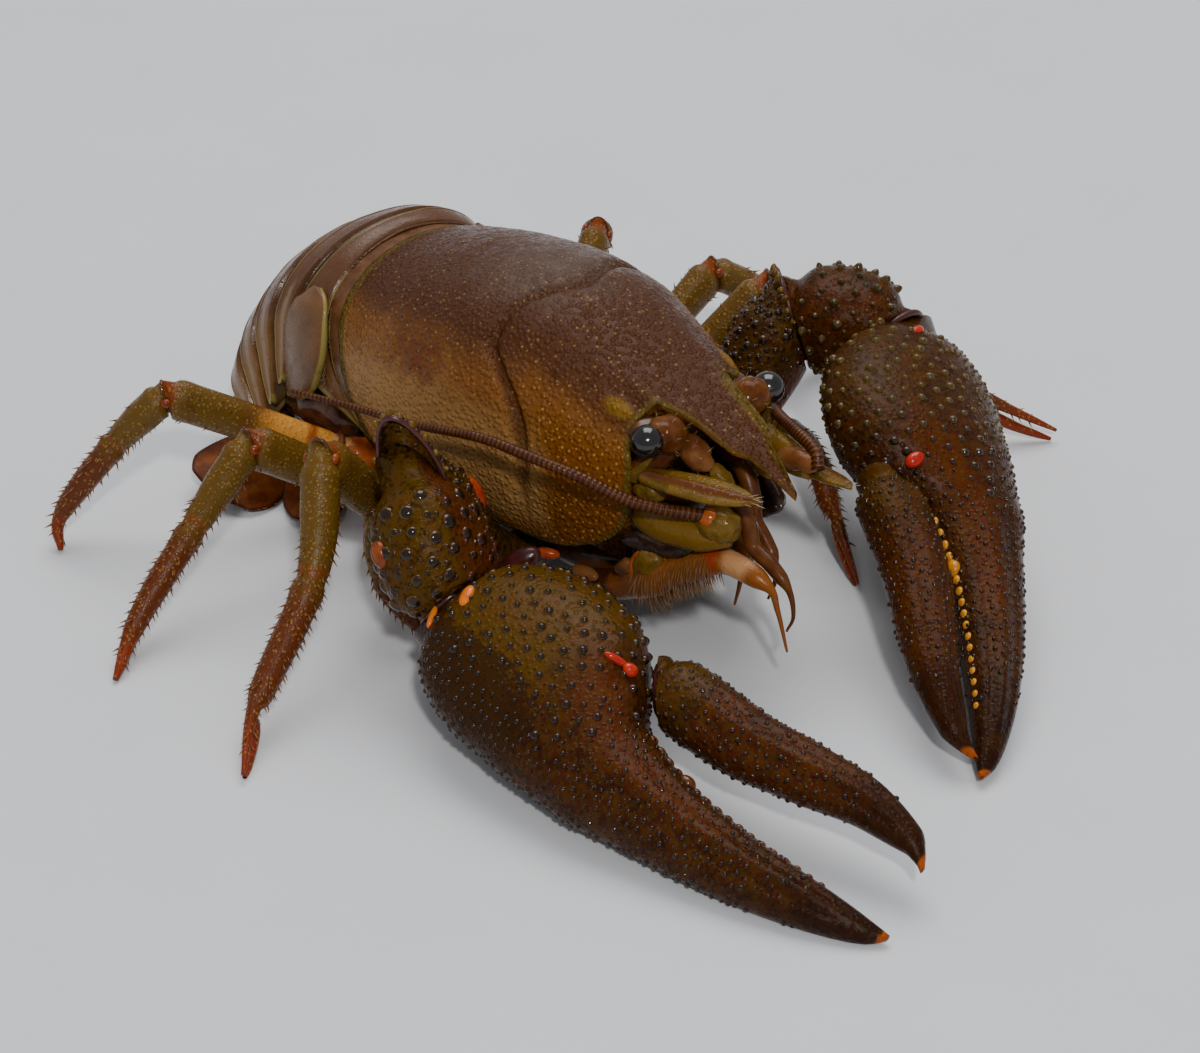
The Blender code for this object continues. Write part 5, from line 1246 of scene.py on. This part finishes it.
# ---- The walking legs
def make_leg(name, stations):
    """Make one walking leg: its upper and lower part, joint beads, bristles and any small pincer."""
    hip, thigh, knee, wrist, root, tip = [np.array(p) for p in stations]
    kind = name[:4]
    pincer = kind in PINCER_LEGS
    size = LEG_SIZE[kind]
    normal = unit(unit(knee - thigh) + unit(wrist - knee))
    rows, sides = THIGH_GRID
    path = route([hip, thigh, knee], rows)
    t = np.linspace(0, 1, rows)
    wide = smooth(THIGH_WIDTH, t) * size * (1 + 0.14 * bell(t, 0.95, 0.05) - 0.1 * bell(t, 0.3, 0.03))
    grid = limb_grid(path, wide * 0.85, wide * 1.1, (0, 0, 1), sides,
                     cuts=(None, (knee - normal * GAP / 2, normal)))
    points, faces = closed_tube(grid)
    along = np.repeat(t, sides)
    pale, ring = LEG_BANDS[kind]
    thigh_piece = make_piece(name + "_upper", points, faces, LEG, [name + "_thigh"],
                             {"amber": ease(pale + 0.2, pale - 0.15, along),
                              "olive": ease(pale - 0.05, pale + 0.25, along),
                              "red": 0.85 * bell(along, ring, 0.025) + 0.7 * ease(0.94, 1.0, along),
                              "hair": 0.5 * ease(0.6, 0.8, along),
                              "cream": 0.9 * bell(along, ring - 0.12, 0.05)})
    hoop(name + "_knee", knee + (grid[-1] - knee) * 0.96 + normal * GAP / 2, 0.2 * size, DEEP_BROWN)
    scatter(name + "_thigh_bristles", thigh_piece, SPINE, BRISTLE, "hair", 1.2, (0.4, 0.7), 52,
            unit(knee - thigh) * 0.8)
    across = unit(np.cross(knee - thigh, wrist - knee))
    for number, turn in enumerate((-1, 1)):
        bead("%s_condyle_%d" % (name, number), knee + across * (turn * 1.45 * size),
             (0.6 * size, 0.55 * size, 0.45 * size), normal, across * turn, JOINT)
    if kind != "leg2":
        joint_way = unit(thigh - hip)
        bead(name + "_root", hip + (thigh - hip) * 0.72, (2.6 * size, 2.1 * size, 2.1 * size), joint_way,
             (0, 0, 1), ORANGE, 0.2)
        bead(name + "_root_ring", hip + (thigh - hip) * 1.02, (0.7 * size, 2.1 * size, 2.2 * size), joint_way,
             (0, 0, 1), TAN, 0.15)
    t = np.linspace(0, 1, SHIN_ROWS)
    path = route([knee, wrist, root, tip], SHIN_ROWS)
    wide = smooth(SHIN_WIDTH, t) * size * (1 + 0.16 * bell(t, 0.03, 0.04) - 0.1 * bell(t, 0.36, 0.02)
                                           + 0.1 * bell(t, 0.4, 0.03))
    outward = unit(np.cross(wrist - knee, (0, 0, 1)))
    along = np.repeat(t, sides)
    marks = {"olive": ease(0.6, 0.25, along), "dark": ease(0.2, 0.6, along),
             "red": 0.5 * bell(along, 0.34, 0.03) + 0.7 * ease(0.7, 0.92, along),
             "hair": ease(0.05, 0.4, along) * ease(0.97, 0.9, along)}
    fixed = path
    if pincer:
        # The end of the leg is the pincer's fixed finger, slimmer and set aside
        aside = unit(np.cross(tip - root, outward)) * size
        reach = np.linalg.norm(root - tip)
        near = np.linalg.norm(path - tip, axis=1)
        blend = ease(reach * 1.12, reach * 0.9, near)
        fixed = path - aside * (0.62 * blend)[:, None]
        wide = wide * (1 - 0.38 * blend)
    grid = limb_grid(fixed, wide, wide, outward, sides, cuts=((knee + normal * GAP / 2, -normal), None))
    points, faces = closed_tube(grid)
    shin = make_piece(name + "_lower", points, faces, LEG, [name + "_shin"], marks)
    scatter(name + "_bristles", shin, SPINE, BRISTLE, "hair", 0.95, (0.5, 0.95), 51 if pincer else 50,
            unit(tip - wrist))
    if not pincer:
        return
    start = path[np.argmax(near < reach)] + (tip - root) * 0.12
    finger = route([start + aside * 0.75, (start + tip) / 2 + aside * 0.95, tip + aside * 0.55],
                   PINCER_GRID[0])
    sizes = evenly([0.4, 0.62, 0.6, 0.5, 0.4, 0.2], PINCER_GRID[0]) * size
    grid = limb_grid(finger, sizes, sizes, outward, PINCER_GRID[1])
    points, faces = closed_tube(grid)
    make_piece(name + "_pincer", points, faces, LEG, [name + "_finger"],
               {"dark": np.full(len(points), 0.7), "red": np.full(len(points), 0.7)})


# ---- Head parts
def simple_tube(name, path, wide, high, mat, nodes, marks=None, up=(0, 0, 1), sides=24, squareness=2.0):
    grid = limb_grid(path, wide, high, up, sides, squareness)
    points, faces = closed_tube(grid)
    share = np.repeat(np.linspace(0, 1, len(path)), sides)
    values = {key: rule(share) for key, rule in (marks or {}).items()}
    return make_piece(name, points, faces, mat, nodes, values)


def make_head():
    """Make the head's own solids: front wall, breastplate, eyes, feelers, scales and mouth limbs."""
    t = np.linspace(0, 1, 24)
    face = [(-17.0, 17.6, 5.0, 3.6), (-17.9, 17.7, 5.0, 5.1), (-19.0, 17.9, 4.2, 5.3),
            (-19.9, 18.1, 2.8, 4.0)]
    path = np.array([(0.0, smooth([(k / 3, f[0]) for k, f in enumerate(face)], v),
                      smooth([(k / 3, f[1]) for k, f in enumerate(face)], v)) for v in t], float)
    simple_tube("face_wall", path, evenly([f[2] for f in face], 24), evenly([f[3] for f in face], 24), MOUTH,
                ["face"], {"dark": lambda v: 0.8 + 0 * v}, squareness=2.6, sides=40)
    stations = [(-13.5, 8.5, 5.4, 2.6), (-6, 7.0, 7.6, 3.2), (4, 6.4, 8.2, 3.0), (14, 6.2, 8.4, 2.8),
                (24, 6.2, 8.0, 2.8), (31, 6.6, 7.4, 2.6), (34.0, 7.2, 5.6, 1.9)]
    y = np.linspace(-13.5, 34.0, 60)
    path = np.stack([0 * y, y, smooth([(s[0], s[1]) for s in stations], y)], axis=1)
    simple_tube("breastplate", path, smooth([(s[0], s[2]) for s in stations], y),
                smooth([(s[0], s[3]) for s in stations], y), DEEP_BROWN, ["sternum"], squareness=3.0,
                sides=40)
    for side, sign in SIDES:
        eye = np.array([EYE_AT[0] * sign, EYE_AT[1], EYE_AT[2]])
        inner_end = np.array([4.9 * sign, -18.2, 29.2])
        axis = unit(eye - inner_end)
        turn = np.linspace(0.06, pi - 0.06, 32)
        path = eye - axis * (np.cos(turn) * EYE_RADIUS)[:, None]
        simple_tube("eyeball_" + side, path, EYE_RADIUS * np.sin(turn), EYE_RADIUS * np.sin(turn), EYE,
                    ["eye_" + side], sides=40)
        end = eye - axis * (EYE_RADIUS + GAP - 0.05)
        simple_tube("stalk_" + side, inner_end + (end - inner_end) * np.linspace(0, 1, 20)[:, None],
                    evenly([1.2, 1.55, 1.5], 20), evenly([1.2, 1.5, 1.45], 20), MOUTH,
                    ["eyestalk_" + side], {"dark": lambda v: 0.7 + 0 * v})
        sizes = np.interp(np.linspace(0, 1, 40), [0.0, 0.3, 0.7, 1.0], ANTENNA_BASE_SIZE[side])
        simple_tube("feeler_base_" + side, route(ANTENNA_BASE[side], 40), sizes, sizes, MOUTH,
                    ["antenna_base_" + side], {"olive": lambda v: 0.8 + 0 * v})
        rings = 0.5 - 0.5 * np.cos(np.arange(FEELER_ROWS) * 2 * pi / FEELER_RING_ROWS)
        sizes = (0.82 - 0.45 * np.linspace(0, 1, FEELER_ROWS)) * (1.03 - 0.13 * rings)
        simple_tube("feeler_" + side, route(ANTENNA[side], FEELER_ROWS), sizes, sizes, FEELER,
                    ["antenna_" + side], {"ring": lambda v: np.repeat(1 - rings, 12)}, sides=12)
        root, tip = [np.array(p) for p in SCALE[side]]
        along = unit(tip - root)
        across = np.array([sign, 0, -0.3])
        across = unit(across - along * np.dot(across, along))
        up = unit(np.cross(along, across))
        up = up if up[2] > 0 else -up
        rows, sides = SCALE_GRID
        t = np.linspace(0, 1, rows)
        grid = limb_grid(root + (tip - root) * t[:, None],
                         smooth([(0, 1.0), (0.3, 1.8), (0.6, 2.0), (0.85, 1.4), (1.0, 0.2)], t),
                         0.7 * (1 - 0.6 * t * t), None, sides, 2.3, axes=(along, across, up))
        c, flat = oval(sides, 2.3)
        keel = (0.5 * bell(c, 0.1, 0.2) - 0.1 * bell(c, 0.5, 0.15)) * np.maximum(flat, 0)
        grid = grid + up * (keel[None, :] * (ease(0, 0.1, t) * (1 - 0.6 * t))[:, None])[..., None]
        points, faces = closed_tube(grid)
        c = np.tile(c, rows)
        blade = make_piece("feeler_scale_" + side, points, faces, PLATE_OLIVE,
                           ["antenna_scale_" + side],
                           {"keel": 0.8 * bell(c, 0.2, 0.45), "hair": np.repeat(ease(0.9, 0.97, t), sides)})
        scatter("feeler_scale_hairs_" + side, blade, HAIR, CREAM, "hair", 0.35, (0.35, 0.7), 95,
                along * 2.5, 8.0)
        t = np.linspace(0, 1, SMALL_FEELER_ROWS)
        sizes = smooth(ANTENNULE_SIZE, t)
        simple_tube("small_feeler_" + side, route(ANTENNULE[side], SMALL_FEELER_ROWS), sizes, sizes, FEELER,
                    ["antennule_" + side], up=(1, 0, 0), sides=16)
        sizes = smooth(MAXILLIPED_SIZE, t)
        limb = simple_tube("mouth_limb_" + side, route(MAXILLIPED[side], SMALL_FEELER_ROWS), sizes, sizes, MOUTH,
                           ["maxilliped_" + side], {
                               "dark": lambda v: ease(0.22, 0.1, v),
                               "olive": lambda v: 0.4 * bell(v, 0.5, 0.1),
                               "pale": lambda v: bell(v, 0.66, 0.05), "red": lambda v: bell(v, 0.58, 0.02),
                               "hair": lambda v: ease(0.28, 0.34, v) * ease(0.6, 0.55, v)}, up=(1, 0, 0.2),
                           sides=24)
        scatter("mouth_fur_" + side, limb, HAIR, BRISTLE, "hair", 0.35, (0.8, 1.4), 90,
                (0.1, -0.3, -1.8), 8.0)


# Beads of the face as on the left side: name, place, half sizes, the way they point, out, finish
ORBIT_BEADS = [
    ("orbit_back", (5.2, -17.6, 28.6), (4.6, 2.6, 3.0), (0.7, 0.35, 0.4), (0.4, -0.8, 0.5), DEEP_BROWN),
    ("orbit_cushion", (6.2, -20.0, 30.9), (2.9, 2.2, 2.1), (0.85, -0.2, 0.25), (0.3, -0.6, 0.7), RED_BROWN),
    ("orbit_floor", (7.2, -18.9, 27.4), (3.4, 1.6, 1.3), (0.75, 0.3, -0.45), (0.4, -0.8, 0.5), RED_BROWN),
    ("feeler_root", (3.8, -22.2, 28.2), (2.8, 1.7, 1.5), (0.1, -1.0, -0.35), (0.4, 0.0, 1.0), TAN),
    ("feeler_joint", (3.1, -26.0, 26.2), (2.3, 1.2, 1.1), (0.0, -1.0, -0.55), (0.4, 0.0, 1.0), PLATE_OLIVE)]
CHEEK_BEADS = [
    ("scale_root", (8.9, -20.4, 24.6), (2.2, 1.7, 1.5), (-0.3, -1.0, 0.1), (0.6, 0.0, 0.8), PLATE_OLIVE),
    ("mouth_skin", (8.4, -20.6, 17.0), (4.8, 1.5, 2.4), (-0.3, -0.95, 0.15), (0.5, -0.4, 0.75), BLACK),
    ("mouth_wall", (5.0, -19.5, 22.5), (4.6, 2.4, 3.4), (-0.4, -0.9, 0.0), (0.5, -0.4, 0.75), DEEP_BROWN)]


def mirrored_beads(side, mirror, rows):
    """Make one side's beads of the face and give them by name."""
    made = {}
    for name, at, sizes, axis, out, mat in rows:
        made[name] = bead(name + "_" + side, np.array(at) * mirror, sizes, np.array(axis) * mirror,
                          np.array(out) * mirror, mat, UNEVEN)
    return made


def make_face_parts():
    """Set the soft tissue of the orbits, the roots of the feelers and the plates round the mouth."""
    for side, sign in SIDES:
        mirror = np.array([sign, 1.0, 1.0])
        orbit = mirrored_beads(side, mirror, ORBIT_BEADS)
        for piece in (orbit["orbit_cushion"], orbit["feeler_root"]):
            hairs_all_over(piece.name + "_hairs", piece, 1.5, 80,
                           np.array([0.4, -0.6, 0.6]) * mirror)
        t = np.linspace(0, 1, 20)
        start = np.array([9.7, -18.2, 25.6]) * mirror
        simple_tube("cheek_spine_" + side, start + np.array([-0.5, -2.6, 3.6]) * mirror * t[:, None],
                    1.1 - 0.9 * t, 1.0 - 0.85 * t, PLATE_OLIVE, ())
        mirrored_beads(side, mirror, CHEEK_BEADS)
    jaw_out = (-0.62, -0.66, 0.42)
    for name, at, sizes, axis, out, mat, uneven in (
            ("feeler_lobe_r", (-5.6, -28.3, 22.3), (2.7, 2.3, 2.2), (0.35, -0.9, 0.1), (-0.4, 0.0, 0.9),
             PLATE_OLIVE, UNEVEN),
            ("feeler_cup_r", (-6.6, -28.0, 23.4), (1.5, 1.15, 1.15), (-0.65, 0.7, 0.15), (0, 0, 1), ORANGE,
             0.0),
            ("feeler_lobe_l", (8.0, -27.0, 25.0), (3.4, 1.5, 1.3), (0.2, -0.95, 0.1), (-0.3, 0, 0.9), TAN,
             UNEVEN),
            ("jaw_rim_r", (-9.3, -20.6, 13.9), (3.2, 2.5, 0.8), (0.1, -0.2, 1.0), jaw_out, ORANGE, 0.0),
            ("jaw_plate_r", (-9.6, -20.9, 14.2), (2.7, 2.0, 0.9), (0.1, -0.2, 1.0), jaw_out, PLATE_OLIVE,
             UNEVEN),
            ("jaw_lobe_r", (-10.2, -17.6, 12.8), (2.4, 1.5, 0.9), (0.3, 0.5, -0.8), jaw_out, TAN, UNEVEN)):
        bead(name, at, sizes, axis, out, mat, uneven)


# ---- Camera, floor and lights
CAMERA_HEIGHT = radians(33.0)
CAMERA_TURN = radians(-40.0)
CAMERA_AWAY = 408.0
CAMERA_TARGET = np.array([-9.0, -11.3, 15.0])
FOCAL_SHARE = 3460 / 1200
SENSOR_WIDTH = 36.0
FLOOR_HALF_WIDTH = 1.5
FLOOR_HEIGHT = -0.0002


def place_camera():
    away = np.array([sin(CAMERA_TURN) * cos(CAMERA_HEIGHT), -cos(CAMERA_TURN) * cos(CAMERA_HEIGHT),
                     sin(CAMERA_HEIGHT)])
    data = bpy.data.cameras.new("camera")
    data.sensor_fit = "HORIZONTAL"
    data.sensor_width = SENSOR_WIDTH
    data.lens = SENSOR_WIDTH * FOCAL_SHARE
    data.clip_start = 0.01
    data.clip_end = 20.0
    cam = bpy.data.objects.new("camera", data)
    cam.location = (CAMERA_TARGET + BODY_AT + away * CAMERA_AWAY) * MM
    cam.rotation_euler = Vector(-away).to_track_quat("-Z", "Y").to_euler()
    bpy.context.scene.collection.objects.link(cam)
    bpy.context.scene.camera = cam


def make_floor():
    mesh = bpy.data.meshes.new("floor")
    corners = [(x * FLOOR_HALF_WIDTH, y * FLOOR_HALF_WIDTH, FLOOR_HEIGHT)
               for x, y in ((-1, -1), (1, -1), (1, 1), (-1, 1))]
    mesh.from_pydata(corners, [], [(0, 1, 2, 3)])
    mat = bpy.data.materials.new("pale_floor")
    mat.use_nodes = True
    tree = mat.node_tree
    shader = tree.nodes["Principled BSDF"]
    where = add_node(tree, "ShaderNodeTexCoord").outputs["Object"]
    tone = noise(tree, where, 40.0, 4.0)
    tree.links.new(mix(tree, tone, srgb(206, 208, 212), srgb(214, 216, 220)), shader.inputs["Base Color"])
    shader.inputs["Roughness"].default_value = 0.75
    mesh.materials.append(mat)
    floor = bpy.data.objects.new("floor", mesh)
    bpy.context.scene.collection.objects.link(floor)


def area_light(name, at, to, size, power, colour):
    data = bpy.data.lights.new(name, "AREA")
    data.shape = "RECTANGLE"
    data.size, data.size_y = size
    data.energy = power
    data.color = colour
    lamp = bpy.data.objects.new(name, data)
    lamp.location = Vector(at)
    lamp.rotation_euler = (Vector(at) - Vector(to)).to_track_quat("Z", "Y").to_euler()
    bpy.context.scene.collection.objects.link(lamp)


def light_scene():
    world = bpy.data.worlds.new("room")
    world.use_nodes = True
    sky = world.node_tree.nodes["Background"]
    sky.inputs["Color"].default_value = (0.95, 0.97, 1.0, 1.0)
    sky.inputs["Strength"].default_value = 0.45
    bpy.context.scene.world = world
    area_light("softbox", (0.25, 0.25, 0.8), (0, 0, 0.01), (0.6, 0.6), 5.7, (1.0, 0.99, 0.97))
    area_light("front_lamp", (-0.38, -0.55, 0.62), (0, 0, 0.01), (0.05, 0.05), 4.0, (1.0, 0.98, 0.95))


def place_beads():
    """Set the bright joint beads where the claws hinge."""
    for name, at, sizes, along, out, mat in (
            ("bead_near_hinge_long", (-25.9, -34.2, 15.9), (1.5, 0.5, 0.5), (0.55, -0.6, -0.5),
             (0.1, -0.5, 0.86), BEAD_RED),
            ("bead_near_hinge_round", (-25.0, -35.6, 14.8), (0.95, 0.8, 0.7), (0.5, -0.6, -0.6),
             (0.1, -0.6, 0.79), BEAD_RED),
            ("bead_near_elbow_outer", (-36.3, -4.9, 19.4), (1.7, 1.3, 1.1), (0.1, 0.5, 0.85),
             (-0.95, 0.2, 0.0), JOINT),
            ("bead_near_elbow_inner", (-20.6, -2.4, 20.2), (2.2, 1.1, 0.9), (0.2, -0.5, -0.8),
             (0.6, -0.6, 0.5), BEAD_DULL),
            ("bead_under_cheek_1", (-13.6, -7.0, 11.0), (1.6, 0.7, 0.7), (0.6, -0.8, 0.0), (-0.4, -0.4, 0.8),
             BEAD_DULL),
            ("bead_under_cheek_2", (-12.2, -12.4, 10.4), (1.9, 0.9, 0.7), (0.2, -0.9, 0.0), (-0.4, -0.4, 0.8),
             TAN),
            ("skin_under_cheek", (-18.8, -8.0, 12.2), (3.2, 1.6, 1.3), (0.6, -0.5, 0.6), (-0.4, -0.6, 0.6),
             SKIN),
            ("bead_near_wrist", (-32.0, -15.2, 17.2), (1.5, 0.8, 0.5), (0.75, 0.4, 0.3), (-0.42, 0.13, 0.9),
             BEAD_ORANGE),
            ("bead_near_wrist_low", (-35.0, -12.6, 14.3), (1.5, 0.45, 0.4), (0.75, 0.4, 0.5),
             (-0.46, 0.56, 0.69), BEAD_ORANGE),
            ("bead_far_hinge", (23.6, -30.5, 20.4), (1.3, 0.9, 0.7), (0.9, -0.1, 0.3), (-0.43, -0.58, 0.69),
             BEAD_RED),
            ("bead_far_wrist", (38.4, -15.5, 26.1), (1.0, 0.6, 0.5), (0.9, 0.1, -0.2), (0.34, -0.21, 0.91),
             BEAD_RED)):
        bead(name, at, sizes, along, out, mat)


make_shell()
for somite in range(6):
    make_somite(somite)
make_back_skin()
make_side_lobes()
make_fan()
for claw_side, _ in SIDES:
    make_claw(claw_side)
for leg_name, leg_stations in LEGS.items():
    make_leg(leg_name, leg_stations)
make_head()
make_face_parts()
place_beads()
for shape in (KNOB, SPIKE, PAD, GRAIN, SPINE, HAIR):
    bpy.data.objects.remove(shape, do_unlink=True)
place_camera()
make_floor()
light_scene()
